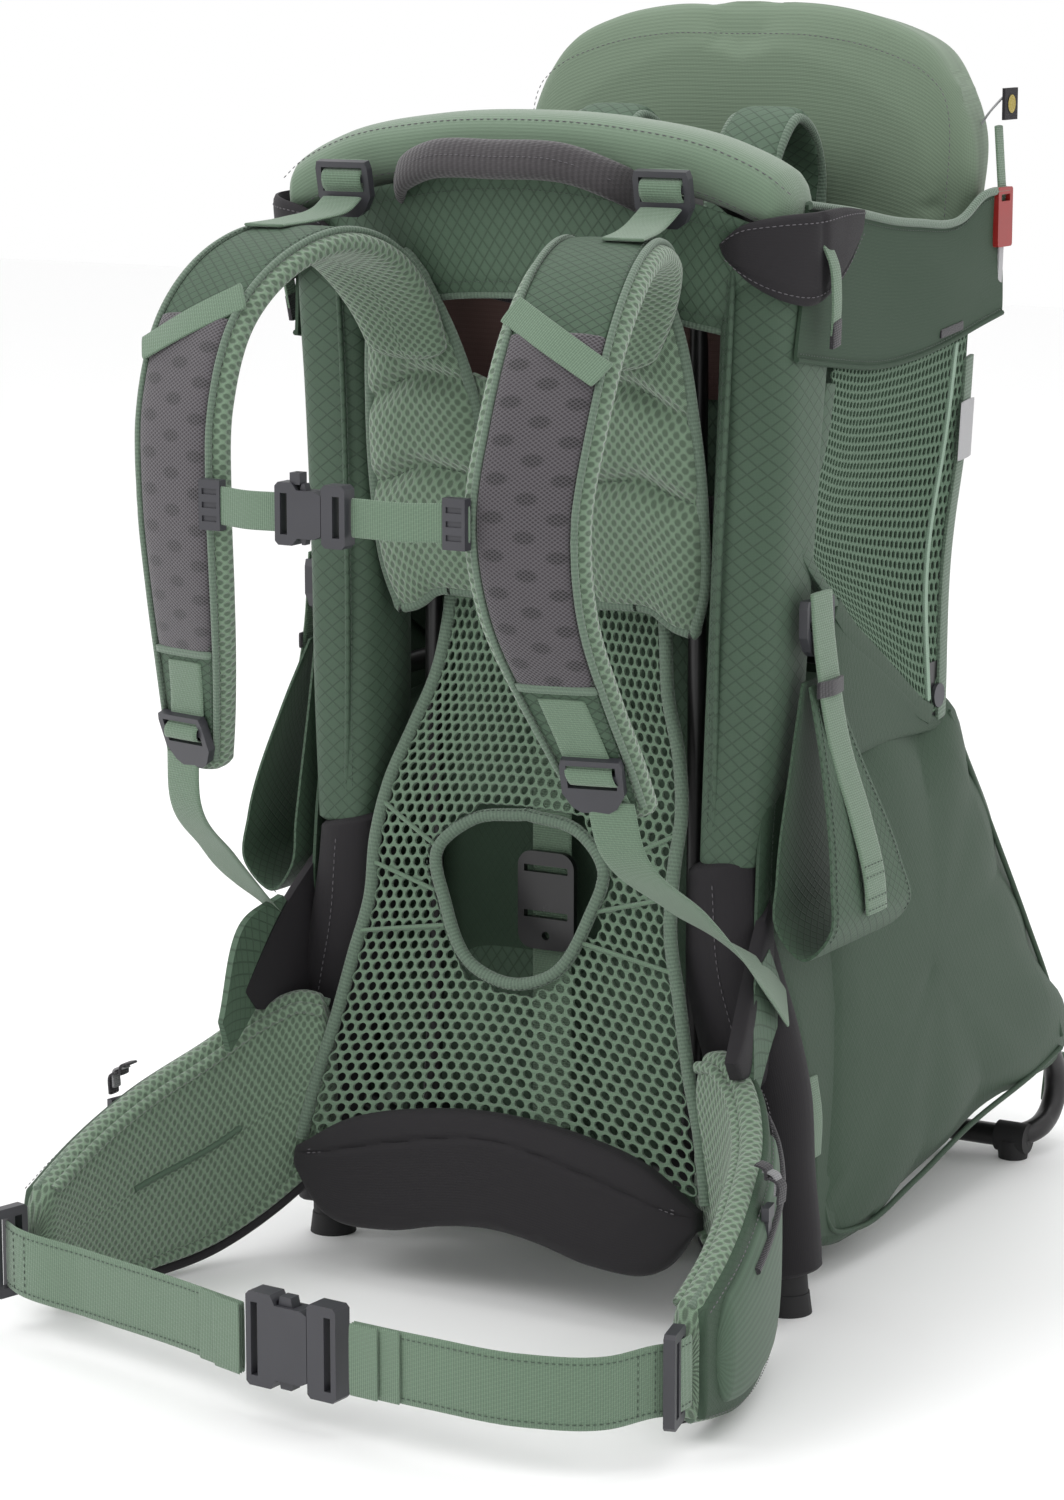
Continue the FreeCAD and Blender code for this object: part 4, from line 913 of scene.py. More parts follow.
def makeSide(side, label):
    def line(key, x):
        return [at(side * x, y, z) for y, z in sideValues[key]]
    top, hem = line("flapTop", 157), line("flapHem", 156)
    grid = sheetGrid(hem, top, [hem[0], top[0]], [hem[-1], top[-1]], 90, 36)
    u, v = np.meshgrid(np.linspace(0, 1, 90), np.linspace(0, 1, 36))
    slack = 0.0028 * np.sin(math.pi * u) * np.sin(math.pi * v)
    slack = slack + 0.0012 * np.sin(9 * u + 3 * v) * np.sin(math.pi * v)
    grid = grid + np.array([side, 0, 0]) * slack[..., None]
    flap = padOn("side_flap_" + label, grid, 0.001, 0.001, (side, 0, 0), flapCloth)
    hungCloth(flap)
    place(flap, "frame", ["side_wall_" + label])
    normal = gridNormals(grid, (side, 0, 0))
    trimTop = gridLine(grid, normal, [(s, 0.985) for s in np.linspace(0, 1, 40)], 0.0012)
    trim = cordAlong("flap_trim_" + label, trimTop, 0.0024, bindingTape, 100)
    hemLine = gridLine(grid, normal, [(s, 0.01) for s in np.linspace(0, 1, 40)], 0.0008)
    hemCord = cordAlong("flap_hem_" + label, hemLine, 0.0016, flapCloth, 100)
    place(trim, "frame")
    place(hemCord, "frame")
    rows = [gridLine(grid, normal, [(s, h) for s in np.linspace(0.01, 0.99, 80)], 0.0015)
            for h in (0.05, 0.93)]
    place(sewn("flap_stitches_" + label, rows, thread), "frame")
    # net below the flap, with a seam strip along its front edge
    top, bottom = line("netTop", 152), line("netBottom", 150)
    left = [bottom[0], *sided(side, *sideValues["netFront"]), top[0]]
    right = [bottom[-1], *sided(side, *sideValues["netRear"]), top[-1]]
    netGrid = sheetGrid(bottom, top, left, right, 60, 60)
    wide = np.sin(math.pi * np.linspace(0, 1, 60))
    netGrid = netGrid - np.array([side, 0, 0]) * (sideValues["netBulge"] * np.outer(wide, wide))[..., None]
    sheetNet = netOn("side_net_" + label, netGrid, (side, 0, 0), sideValues["netPitch"], 1.25,
                     sideValues["netHole"], 0.0009, sideNetCloth)
    place(sheetNet, "frame")
    middle = netGrid.mean((0, 1))
    behind = middle + (netGrid - middle) * 1.06 - np.array([side, 0, 0]) * 0.004
    inner = padOn("side_lining_" + label, behind, 0.0006, 0.0006, (side, 0, 0), liningCloth)
    hungCloth(inner)
    place(inner, "frame")
    out = np.array([side * 0.0008, 0, 0])
    edges = []
    for edge, across, width, finish in ((netGrid[::6, -1] + out, (0, 1, 0.2), 0.011, bindingTape),
                                        (netGrid[::6, 0] + out, (0, 1, -0.1), 0.012, columnCloth),
                                        (netGrid[0, ::6] + out, (0, 0.5, 0.85), 0.012, bagCloth)):
        rows = [[*p, *across, side, 0, 0, width, 0.0026] for p in edge]
        edges.append(sweep("border", rows, finish, 40, 12, 5, 0.001))
    # the pale seam strip across the net
    rows = [[*(p + out), 0, 1, 0.2, side, 0, 0, 0.0045, 0.002] for p in netGrid[2:58:5, int(0.90 * 59)]]
    edges.append(sweep("border", rows, paleGreen, 40, 12, 5, 0.001))
    place(joined("side_border_" + label, edges), "frame")
    # the cloth between the net's hem and the storage bag
    under = [at(side * 147, y, z) for y, z in ((30, 296), (100, 300), (204, 296))]
    first, last = tuple(netGrid[0, 0]), tuple(netGrid[0, -1])
    netHem = [tuple(p) for p in netGrid[0, ::12]] + [last]
    waist = sheetGrid(under, netHem, [under[0], first], [under[-1], last], 40, 20)
    apron = padOn("side_apron_" + label, waist, puffed(40, 20, 0.003, 4, 0.3), 0.001, (side, 0, 0), bagCloth)
    place(apron, "frame")
    # the slit near the hem, a dark strip of painted shade, and a blank label on the net
    out = (side, 0, 0)
    slit = strip("slit", [flip(p, side) for p in sideValues["slit"]], 5, 1.2, darkTape, (0, 0, 1), out)
    patch = strip("label", [flip(p, side) for p in sideValues["label"]], 18, 0.8, labelCloth, (0, 1, 0.1),
                  out)
    place(joined("side_labels_" + label, [slit, patch]), "frame")


for label, side in sides.items():
    makeSide(side, label)


shieldValues = {
    "top": [(120, -37, 588), (134, -39, 598), (153, -36, 603), (168, -18, 605), (169, 8, 606),
            (166, 42, 603)],
    "bottom": [(122, -36, 582), (137, -37, 569), (152, -31, 560), (162, -17, 556), (164.5, 6, 562),
               (164, 43, 592)],
    "loop": [((168, -8, 588), (0, 1, 0)), ((172, -7, 578), (0, 1, 0)), ((172, -3, 560), (0, 1, 0.2)),
             ((170, 0, 540), (0, 1, 0.2))],
    "loopEnd": [(171, -1, 548), (169.5, 1, 533)],
    "gussetReach": {"right": 1.0, "left": 0.6},        # how far each gusset comes forward
}
legValues = {
    "front": [(143, 40, 30), (146, 18, 120), (145, -8, 178), (142, -27, 208), (141, -27, 250),
              (140, -18, 306)],
    "rear": [(143, 70, 24), (145, 70, 128), (145, 70, 178), (145, 70, 208), (145, 70, 250), (144, 70, 318)],
}


def makeShield(side, label):
    outline, low = sided(side, *shieldValues["top"]), sided(side, *shieldValues["bottom"])
    grid = sheetGrid(low, outline, [low[0], outline[0]], [low[-1], outline[-1]], 60, 24)
    height = grooved(puffed(60, 24, 0.003, 4, 0.2), [[(0.1, 0.16), (0.9, 0.14)], [(0.52, 0.0), (0.52, 1.0)]],
                     0.02, 0.5)
    patch = padOn("shield_" + label, grid, height, 0.001, (side * 0.7, -0.7, 0), charcoalCloth)
    normal = gridNormals(grid, (side * 0.7, -0.7, 0))
    rows = [gridLine(grid, normal, [(s, v) for s in np.linspace(0.04, 0.96, 50)], 0.0026) for v in (0.1, 0.9)]
    seam = sewn("shield_stitches_" + label, rows, paleThread, 0.0034, 0.0024, 0.0006)
    place(joined("shield_" + label, [patch, seam]), "frame")
    rows = [(flip(p, side), across, (side, 0, 0)) for p, across in shieldValues["loop"]]
    loop = strip("hanging_loop_" + label, rows, 10, 1.8, tape)
    rows = [flip(p, side) for p in shieldValues["loopEnd"]]
    dark = strip("loop_end", rows, 10, 2.8, darkTape, (0, 1, 0.2), (side, 0, 0))
    place(joined("hanging_loop_" + label, [loop, dark]), "frame")
    # the flare that ties the hip belt back to the leg
    flare = sided(side, (143, -16, 238), (150, -50, 206), (156, -84, 162))
    under = sided(side, (144, -12, 124), (148, -44, 142), (154, -74, 150))
    wing = sheetGrid(under, flare, [under[0], flare[0]], [under[-1], flare[-1]], 40, 24)
    dark = padOn("belt_flare_" + label, wing, puffed(40, 24, 0.005, 4, 0.25), 0.004, (side, 0, 0),
                 charcoalCloth)
    place(dark, "frame")
    reach = shieldValues["gussetReach"][label]
    flare = sided(side, (149, -52 * reach, 212), (152, -84 * reach, 203), (156, -104 * reach, 148))
    under = sided(side, (150, -20 * reach, 180), (153, -60 * reach, 160), (155, -98 * reach, 130))
    wing = sheetGrid(under, flare, [under[0], flare[0]], [under[-1], flare[-1]], 30, 20)
    green = padOn("belt_gusset_" + label, wing, 0.002, 0.002, (side, 0, 0), panelCloth)
    place(green, "frame")


def makeLegPanel(side, label):
    front, rear = sided(side, *legValues["front"]), sided(side, *legValues["rear"])
    grid = sheetGrid([front[0], rear[0]], [front[-1], rear[-1]], front, rear, 30, 90)
    height = grooved(puffed(30, 90, 0.003, 6, 0.3), [[(0.12, 0), (0.12, 1)]], 0.02, 0.4)
    panel = padOn("leg_panel_" + label, grid, height, 0.001, (side, 0, 0), bagCloth)
    normal = gridNormals(grid, (side, 0, 0))
    line = gridLine(grid, normal, [(0.12, v) for v in np.linspace(0.02, 0.98, 80)], 0.0024)
    seam = sewn("leg_panel_seam", [line], thread)
    place(joined("leg_panel_" + label, [panel, seam]), "frame")


for label, side in sides.items():
    makeShield(side, label)
    makeLegPanel(side, label)
print("shell made")


bagValues = {"half": 141, "round": 22, "bulge": 5, "flare": 15,
             "profile": [(30, 60), (34, 34), (60, 16), (95, 12), (164, 22), (233, 38), (330, 52), (372, 58),
                         (382, 66),
                         (380, 78), (352, 122), (318, 170), (262, 250), (222, 302), (204, 318), (160, 322),
                         (80, 316),
                         (34, 306), (26, 280), (26, 180)],
             "seams": [[(196, 306), (246, 240), (306, 160), (344, 106), (360, 76)],
                       [(46, 60), (62, 30), (95, 22), (164, 32), (233, 48), (330, 62), (360, 68)],
                       [(84, 300), (110, 250), (128, 190), (136, 120), (132, 60), (126, 32)]],
             "tab": [(149, 24, 128), (151, 27, 104), (149, 30, 80)]}


def makeBag(values):
    half, corner = values["half"], values["round"]
    loop = np.array([(0.0, y, z) for y, z in values["profile"]])
    closed = np.concatenate([loop, loop[:1]])
    ring = spline(closed, 121)[:120, 1:3]
    centre = np.array([170.0, 165.0])
    levels = []
    for x in np.linspace(0, 1, 9):
        angle = x * math.pi / 2
        levels.append((half - corner * (1 - math.sin(angle)), corner * 0.35 * (1 - math.cos(angle))))
    rings = [(x, 0.0, 1.0) for x in np.linspace(-half + corner, half - corner, 50)]
    ends = [(x, inset, 1.0) for x, inset in levels[1:]]
    ends += [(half + values["bulge"] * (1 - s * s), levels[-1][1], s)
             for s in (0.93, 0.8, 0.64, 0.48, 0.3, 0.14, 0.03)]
    allRings = [(-x, i, s) for x, i, s in reversed(ends)] + rings + ends
    out = []
    for x, inset, scale in allRings:
        reach = ring - centre
        length = np.linalg.norm(reach, axis=1, keepdims=True)
        here = centre + reach * (1 - inset / length) * scale
        wrinkle = 1.6 * np.sin(ring[:, 0] / 17 + x / 31) * np.sin(ring[:, 1] / 23 + x / 47)
        xs = x * (1 + values["flare"] / half * np.clip(here[:, 0] / 370, 0, 1))
        xs = xs + wrinkle * (np.sign(x) * scale**2 if abs(x) > half - corner else 0)
        out.append(np.stack([xs / 1000, here[:, 0] / 1000 + feetLine, here[:, 1] / 1000], 1))
    rings = np.array(out)
    bag = tubeMesh("bag_shell", rings, bagCloth, 60)
    # the side faces carry their own flat layout
    layer = bag.data.uv_layers["UVMap"]
    for polygon in bag.data.polygons:
        if abs(polygon.normal.x) > 0.6:
            for index in polygon.loop_indices:
                co = bag.data.vertices[bag.data.loops[index].vertex_index].co
                layer.data[index].uv = (co.y, co.z)
    return bag


def bagSeams():
    pieces = []
    for side in (-1, 1):
        for line in bagValues["seams"]:
            lifted = [at(side * (bagValues["half"] + bagValues["flare"] * y / 370 + 1.4), y, z)
                      for y, z in line]
            pieces.append(cordAlong("bag_seam", lifted, 0.0017, bagCloth, 90))
    return joined("bag_seams", pieces)


def blended(piece, stands=()):
    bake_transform(piece)
    return dressed(piece, stands)


blended(plump(makeBag(bagValues), 1.5, 0.005),
        stands=["storage_bag"])
blended(bagSeams())
for label, side in sides.items():
    tab = strip("bag_tab_" + label, [flip(p, side) for p in bagValues["tab"]], 16, 1.8, tape,
                (0, 1, 0), (side, 0, 0))
    place(tab, "frame")


domeValues = {"thick": 31, "lean": 0.15,
              "edge": [(126, 352), (139, 480), (147, 590), (147, 632), (137, 662)],
              "top": [(0, 709), (50, 708), (88, 700), (116, 687), (137, 662)]}


def makeDome(values):
    def lean(x, z):
        return at(x, 203 + values["lean"] * (z - 350) - 0.12 * max(0, z - 480), z)
    right = [lean(x, z) for x, z in values["edge"]]
    left = [lean(-x, z) for x, z in values["edge"]]
    top = [lean(x, z) for x, _, z in both([(x, 0, z) for x, z in values["top"]])]
    bottom = [left[0], lean(0, 348), right[0]]
    grid = sheetGrid(bottom, top, left, right, 90, 110)
    height = puffed(90, 110, values["thick"] / 2000, 7, 0.05)
    rise = np.clip((grid[:, :, 2] - 0.48) * 0.12, 0, None)
    dome = padOn("dome_pad", grid, height, height + rise * (height > 0.004), (0, -1, 0), domeCloth)
    dome = plump(dome, 3, 0.003)
    normal = gridNormals(grid, (0, -1, 0))
    ring = ([(0.05, v) for v in np.linspace(0.1, 0.93, 50)]
            + [(u, 0.945) for u in np.linspace(0.06, 0.94, 60)]
            + [(0.95, v) for v in np.linspace(0.93, 0.1, 50)])
    line = gridLine(grid, normal, ring, values["thick"] / 2000 * 0.93)
    seam = sewn("dome_seam", [line], paleThread, 0.0036, 0.0024, 0.0006)
    place(joined("dome_pad", [dome, seam]), "frame", ["back_rest"])


makeDome(domeValues)


# each row of a harness loop: place, the way it faces, width
harnessValues = [((46, 196, 560), (0, 0.3, 1), 36), ((48, 190, 622), (0, 0.5, 1), 38),
                 ((50, 160, 646), (0, -0.1, 1), 40), ((50, 130, 624), (0, -0.8, 0.5), 40),
                 ((48, 120, 570), (0, -1, 0), 38), ((44, 124, 500), (0, -1, 0), 34)]


def makeSeat():
    bottom, top = pts((-60, 48, 387), (60, 48, 387)), pts((-60, 152, 387), (60, 152, 387))
    grid = sheetGrid(bottom, top, [bottom[0], top[0]], [bottom[1], top[1]], 40, 36)
    height = puffed(40, 36, 0.010, 5, 0.1)
    seat = plump(padOn("seat_cushion", grid, height, height, (0, 0, 1), domeCloth), 4, 0.003)
    place(seat, "seat", ["child_seat"])
    loops = []
    for side in (-1, 1):
        rows = [rowAt(flip(p, side), (1, 0, 0), facing, width, 11) for p, facing, width in harnessValues]
        loops.append(sweep("harness_loop", rows, panelCloth, 80, 20, 3.2, 0.006))
        for edge in (-1, 1):
            line = [tuple(p[:3] + unit(p[3:6]) * edge * p[9] * 0.47) for p in spline(rows, 60)]
            loops.append(cordAlong("harness_binding", line[::6] + [line[-1]], 0.0030, bindingTape, 80))
    place(joined("harness_loops", loops), "frame", ["child_harness"])
    bottom, top = pts((-92, 24, 72), (92, 24, 72)), pts((-100, 24, 560), (100, 24, 560))
    grid = sheetGrid(bottom, top, [bottom[0], top[0]], [bottom[1], top[1]], 50, 90)
    back = padOn("board_cover", grid, puffed(50, 90, 0.003, 8, 0.3), 0.0015, (0, -1, 0), panelCloth)
    place(back, "frame", ["back_board"])
    tie = strip("torso_web", [(-2, 1.5, 84), (-2, 1.5, 210), (-2, 1.5, 334)], 25, 2, tape, (1, 0, 0),
                (0, -1, 0))
    place(tie, "frame", ["torso_webbing"])


def makeInner():
    # the lining, its dark edge and a blank label show between the yoke and the front cover
    bottom, top = pts((-98, 17, 500), (98, 17, 500)), pts((-104, 8, 566), (104, 8, 566))
    grid = sheetGrid(bottom, top, [bottom[0], top[0]], [bottom[1], top[1]], 40, 16)
    lining = padOn("inner_lining", grid, puffed(40, 16, 0.003, 4, 0.3), 0.001, (0, -1, 0), tanCloth)
    place(lining, "frame")
    upward, forward = (0, 0.1, 1), (0, -1, 0)
    parts = [strip("edge", [(-60, 7, 556), (10, 9, 546), (92, 9, 549)], 8, 2.4, darkTape, upward, forward),
             strip("label", [(-12, 3, 561), (26, 3, 559)], 11, 0.8, labelCloth, upward, forward)]
    for side in (-1, 1):
        for z in (440, 414):
            line = [(side * 80, 3, z), (side * 96, -1, z + 2), (side * 112, -6, z + 6)]
            parts.append(strip("rail_tie", line, 15, 1.6, darkTape, (0, 0, 1), forward))
    place(joined("inner_trim", parts), "frame")
    # the skirt that closes the back between the bag and the dome
    bottom = pts((-142, 206, 312), (0, 214, 312), (142, 206, 312))
    top = pts((-132, 212, 372), (0, 222, 366), (132, 212, 372))
    grid = sheetGrid(bottom, top, [bottom[0], top[0]], [bottom[-1], top[-1]], 50, 16)
    skirt = padOn("rear_skirt", grid, 0.001, puffed(50, 16, 0.004, 4, 0.3), (0, -1, 0), bagCloth)
    place(skirt, "frame")


makeSeat()
makeInner()


yokeValues = {
    "inner": [(34, 388), (31, 420), (31, 455), (36, 505), (44, 530), (61, 566)],
    "outer": [(93, 376), (100, 398), (103, 441), (101, 494), (95, 541), (85, 572)],
    "bottom": [(34, 388), (50, 389), (68, 388), (82, 379), (93, 376)],
    "top": [(61, 566), (72, 577), (85, 572)],
    "channels": [[(0, 0.36), (0.5, 0.375), (1, 0.37)], [(0, 0.66), (0.5, 0.64), (1, 0.60)]],
}


def yokeY(z):
    return -9.5 - 0.1485 * (z - 375)


def yokeLine(side, rows):
    return [at(side * x, yokeY(z), z) for x, z in rows]


def makeYoke(side, label):
    left, right = yokeLine(side, yokeValues["inner"]), yokeLine(side, yokeValues["outer"])
    bottom, top = yokeLine(side, yokeValues["bottom"]), yokeLine(side, yokeValues["top"])
    grid = sheetGrid(bottom, top, left, right, 60, 130)
    height = puffed(60, 130, 0.012, 3.4, 0.12)
    height = grooved(height, yokeValues["channels"], 0.035, 0.78)
    pad = plump(padOn("yoke_" + label, grid, height, 0.006, (0, -1, 0), spacerCloth), 3, 0.0025)
    normal = gridNormals(grid, (0, -1, 0))
    ring = ([(0.0, v) for v in np.linspace(0, 1, 40)] + [(u, 1.0) for u in np.linspace(0.05, 1, 16)]
            + [(1.0, v) for v in np.linspace(0.98, 0, 40)] + [(u, 0.0) for u in np.linspace(0.95, 0.0, 16)])
    roll = cordAlong("yoke_roll", gridLine(grid, normal, ring, 0.001), 0.0034, bindingTape, 240, 10)
    lines = [gridLine(grid, normal, [(u, v) for u in np.linspace(0.06, 0.94, 40)], 0.0042)
             for v in (0.37, 0.63)]
    seam = sewn("yoke_seam", lines, thread, 0.0034, 0.0024, 0.0006)
    return joined("yoke_" + label, [pad, roll, seam])


def makeYokeMiddle():
    bottom = [at(x, yokeY(392) + 3, 392) for x in (-36, 0, 36)]
    top = [at(x, yokeY(500) + 3, 500 + abs(x) * 0.3) for x in (-38, 0, 38)]
    grid = sheetGrid(bottom, top, [bottom[0], top[0]], [bottom[-1], top[-1]], 40, 60)
    return padOn("yoke_middle", grid, puffed(40, 60, 0.005, 4, 0.3), 0.003, (0, -1, 0), spacerCloth)


lobes = [makeYoke(side, label) for label, side in sides.items()] + [makeYokeMiddle()]
place(joined("yoke_pads", lobes), "harness", ["yoke"])


# each row of a shoulder strap: place, the way it faces, width, twist
strapRows = [((62, -48, 520), (0, 1, 0.1), 46, 0.0), ((73, -51, 549), (0.05, 0.9, 0.45), 55, 0.0),
             ((83, -67, 573), (0.12, 0.4, 0.9), 62, 0.02), ((92, -101, 586), (0.15, 0.1, 1), 66, 0.05),
             ((101, -141, 578), (0.15, -0.5, 0.85), 67, 0.12), ((107, -177, 551), (0.2, -0.8, 0.55), 67, 0.2),
             ((107, -199, 508), (0.22, -0.95, 0.2), 67, 0.22), ((103, -207, 460), (0.22, -1, 0), 66, 0.22),
             ((105, -200, 412), (0.22, -0.97, -0.2), 62, 0.22),
             ((113, -184, 370), (0.22, -0.92, -0.3), 56, 0.22),
             ((122, -168, 334), (0.22, -0.9, -0.35), 49, 0.22),
             ((129, -156, 306), (0.22, -0.9, -0.35), 41, 0.22)]


def strapLine(side):
    return [rowAt((x * side, y, z), (1, twist * side, 0), flip(outward, side), width, 15)
            for (x, y, z), outward, width, twist in strapRows]


def strapPart(side, low, high, inset, lift, thick, count=40):
    # the part of a strap between two shares of its length, lifted off its face
    rows = spline(strapLine(side), np.linspace(low, high, count))
    across = unit(rows[:, 3:6])
    outward = unit(rows[:, 6:9] - across * (rows[:, 6:9] * across).sum(1, keepdims=True))
    rows[:, :3] += outward * lift / 1000
    rows[:, 9] -= inset / 1000
    rows[:, 10] = thick / 1000
    return rows


def strapPoint(side, s, u, lift):
    row = strapPart(side, s, s, 0, lift, 1, 1)[0]
    across = unit(row[3:6])
    return tuple(row[:3] + across * row[9] / 2 * u)


def makeStrap(side, label):
    parts = [sweep("strap_pad", strapLine(side), spacerCloth, 150, 40, 3.0, 0.008)]
    cap = sweep("strap_cap", strapPart(side, 0.10, 0.43, 17, 5.5, 6), strapCloth, 70, 28, 3.4, 0.002)
    pocket = sweep("strap_pocket", strapPart(side, 0.42, 0.82, 17, 6.2, 8), netPocket, 90, 28, 3.0, 0.003)
    end = sweep("strap_end", strapPart(side, 0.82, 0.985, 15, 5.5, 6.4), strapCloth, 50, 28, 3.2, 0.003)
    row = strapPart(side, 0.814, 0.826, 15, 8.6, 4, 2)
    parts.append(sweep("strap_bar", row, bindingTape, 6, 16, 4, 0.001))
    pipes = [cordAlong("strap_pipe",
                       [strapPoint(side, s, u * 0.80, 7.2) for s in np.linspace(0.08, 0.975, 24)],
                       0.0019, bindingTape, 120) for u in (-1, 1)]
    # the slanted band that carries the chest strap, and the lifter's bar at the shoulder
    slant = spline([strapPoint(side, 0.47, 0.86 * side, 10.4), strapPoint(side, 0.435, 0.0, 11.0),
                    strapPoint(side, 0.395, -0.86 * side, 10.4)], 3)
    direction = unit(slant[-1, :3] - slant[0, :3])
    rows = []
    for p, row in zip(slant, strapPart(side, 0.40, 0.47, 0, 0, 1, 3)):
        outward = unit(row[6:9])
        rows.append([*p[:3], *unit(np.cross(direction, outward)), *outward, 0.016, 0.0018])
    parts.append(sweep("strap_band", rows, tape, 30, 12, 6, 0.001))
    low = [strapPoint(side, 0.17, u, 9.6) for u in (-0.42, 0, 0.42)]
    bar = strapPart(side, 0.17, 0.17, 0, 0, 1, 1)[0]
    rows = [[*p, *unit(np.cross(bar[3:6], bar[6:9])), *unit(bar[6:9]), 0.014, 0.0022] for p in low]
    parts.append(sweep("strap_bar", rows, tape, 12, 12, 5, 0.001))
    seams = [[strapPoint(side, s, u * 0.72, 8.9) for s in np.linspace(0.11, 0.345, 40)] for u in (-1, 1)]
    seams += [[strapPoint(side, s, u * 0.70, 9.0) for s in np.linspace(0.81, 0.96, 40)] for u in (-1, 1)]
    seam = sewn("strap_seams", seams, thread, 0.0034, 0.0024, 0.0006)
    return joined("padded_strap_" + label, parts + [cap, pocket, end] + pipes + [seam])


for label, side in sides.items():
    place(makeStrap(side, label), "harness", ["shoulder_strap_" + label])
print("harness made")


meshValues = {
    # height and half width, height and depth, and the window's half outline
    "edge": [(74, 130), (90, 127), (113, 122), (140, 114), (182, 104), (215, 96), (249, 95), (280, 93),
             (308, 85),
             (339, 74), (372, 69), (410, 66)],
    "depth": [(73, -62), (113, -56), (249, -36), (318, -8), (372, 1.5), (412, 2)],
    "window": [(0, 270), (34, 264), (53, 246), (46, 219), (26, 186), (0, 178)],
    "opening": [(178, 4), (186, 26), (219, 46), (246, 53), (264, 34), (270, 6)],
    "seams": [((50, 246), (93, 268)), ((40, 206), (99, 196)), ((46, 222), (97, 236))],
    "pitch": 0.0066, "hole": 0.80, "thick": 0.0020,
}


def meshY(z):
    return float(np.interp(z, *zip(*meshValues["depth"])))


def inWindow(point):
    x, z = abs(point[0]) * 1000, point[2] * 1000
    return 180 < z < 269 and x < np.interp(z, *zip(*meshValues["opening"]))


def makeBackMesh():
    left = [at(-half, meshY(z), z) for z, half in meshValues["edge"]]
    right = [at(half, meshY(z), z) for z, half in meshValues["edge"]]
    bottom, top = [left[0], at(0, meshY(90), 90), right[0]], [left[-1], at(0, meshY(410), 410), right[-1]]
    grid = sheetGrid(bottom, top, left, right, 70, 100)
    netPiece = netOn("back_mesh", grid, (0, -1, 0), meshValues["pitch"], 1.02, meshValues["hole"],
                     meshValues["thick"], netCloth, lambda p: not inWindow(p), 1)
    window = meshValues["window"]
    window = window + [(-x, z) for x, z in window[-2::-1]]
    ring = [at(x, meshY(z) - 2, z) for x, z in window]
    trims = [cordAlong("window_roll", ring, 0.0036, bindingTape, 160, 10)]
    for line in (left, right):
        trims.append(cordAlong("mesh_edge", line, 0.0038, bindingTape, 120, 10))
    for s in (-1, 1):
        for a, b in meshValues["seams"]:
            middle = ((a[0] + b[0]) / 2, (a[1] + b[1]) / 2)
            points = [at(s * x, meshY(z) - 2.2, z) for x, z in (a, middle, b)]
            trims.append(cordAlong("mesh_seam", points, 0.0013, netCloth, 40))
    place(joined("mesh_sheet", [netPiece] + trims), "frame", ["back_mesh"])
    ring = [at(x * 1.08, meshY(z) - 4.4, 224 + (z - 224) * 1.06) for x, z in window]
    seam = sewn("window_stitches", [spline(ring, 200)[:, :3]], thread, 0.0034, 0.0024, 0.0007)
    place(seam, "frame")


makeBackMesh()


def makeLumbar():
    def line(rows):
        return [at(x, -66 + (z - 73) * 0.1 - 2, z) for x, z in rows]
    top = line([(-129, 72), (-95, 92), (-48, 104), (0, 108), (48, 104), (95, 92), (129, 72)])
    bottom = line([(-130, 62), (-106, 35), (-66, 32), (-32, 38), (0, 41), (32, 38), (66, 32), (106, 35),
                   (130, 62)])
    grid = sheetGrid(bottom, top, [bottom[0], top[0]], [bottom[-1], top[-1]], 110, 40)
    height = grooved(puffed(110, 40, 0.008, 4.5, 0.15), [[(0.04, 0.68), (0.5, 0.80), (0.96, 0.68)]], 0.02,
                     0.25)
    pad = plump(padOn("lumbar_pad", grid, height, 0.006, (0, -1, 0), charcoalCloth), 3, 0.0025)
    normal = gridNormals(grid, (0, -1, 0))
    lines = []
    for low, lift in ((0.66, 0.0072), (0.72, 0.0070), (0.10, 0.0052)):
        arch = [(u, low + 0.1 * math.sin(math.pi * u)) for u in np.linspace(0.06, 0.94, 120)]
        lines.append(gridLine(grid, normal, arch, lift))
    seam = sewn("lumbar_seams", lines, paleThread, 0.0036, 0.0024, 0.0007)
    place(joined("lumbar_cushion", [pad, seam]), "frame", ["lumbar_pad"])


makeLumbar()

# each row of a hip wing: place on the floor plan, the way it faces, lower and upper edge
wingRows = [((117, -44), (0.3, 0.95), (62, 152)), ((131, -51), (0.45, 0.9), (48, 158)),
            ((153, -66), (0.7, 0.7), (27, 150)), ((174, -95), (0.9, 0.45), (10, 131)),
            ((190, -138), (0.97, 0.25), (5, 113)), ((199, -180), (0.99, 0.12), (6, 93)),
            ((201, -222), (1, 0.05), (14, 72))]
# each pull loop: finish, reach outwards, height of its end, width
pullRows = [(darkTape, 203, 118, 9), (greyTape, 208, 110, 7), (darkTape, 210, 106, 9)]


def wingLine(side, low=0.0, high=1.0, inset=0.0, lift=0.0, thick=20.0, count=24):
    rows = []
    for (x, y), (a, b), (bottom, top) in wingRows:
        rows.append(rowAt((x * side, y, (bottom + top) / 2), (0, 0, 1), (a * side, b, 0), top - bottom, 20))
    rows = spline(rows, np.linspace(low, high, count))
    outward = unit(rows[:, 6:9])
    rows[:, :3] += outward * lift / 1000
    rows[:, 9] -= inset / 1000
    rows[:, 10] = thick / 1000
    return rows


def wingPoint(side, s, u, lift):
    row = wingLine(side, s, s, 0, lift, 1, 1)[0]
    return tuple(row[:3] + np.array([0, 0, 1]) * row[9] / 2 * u)


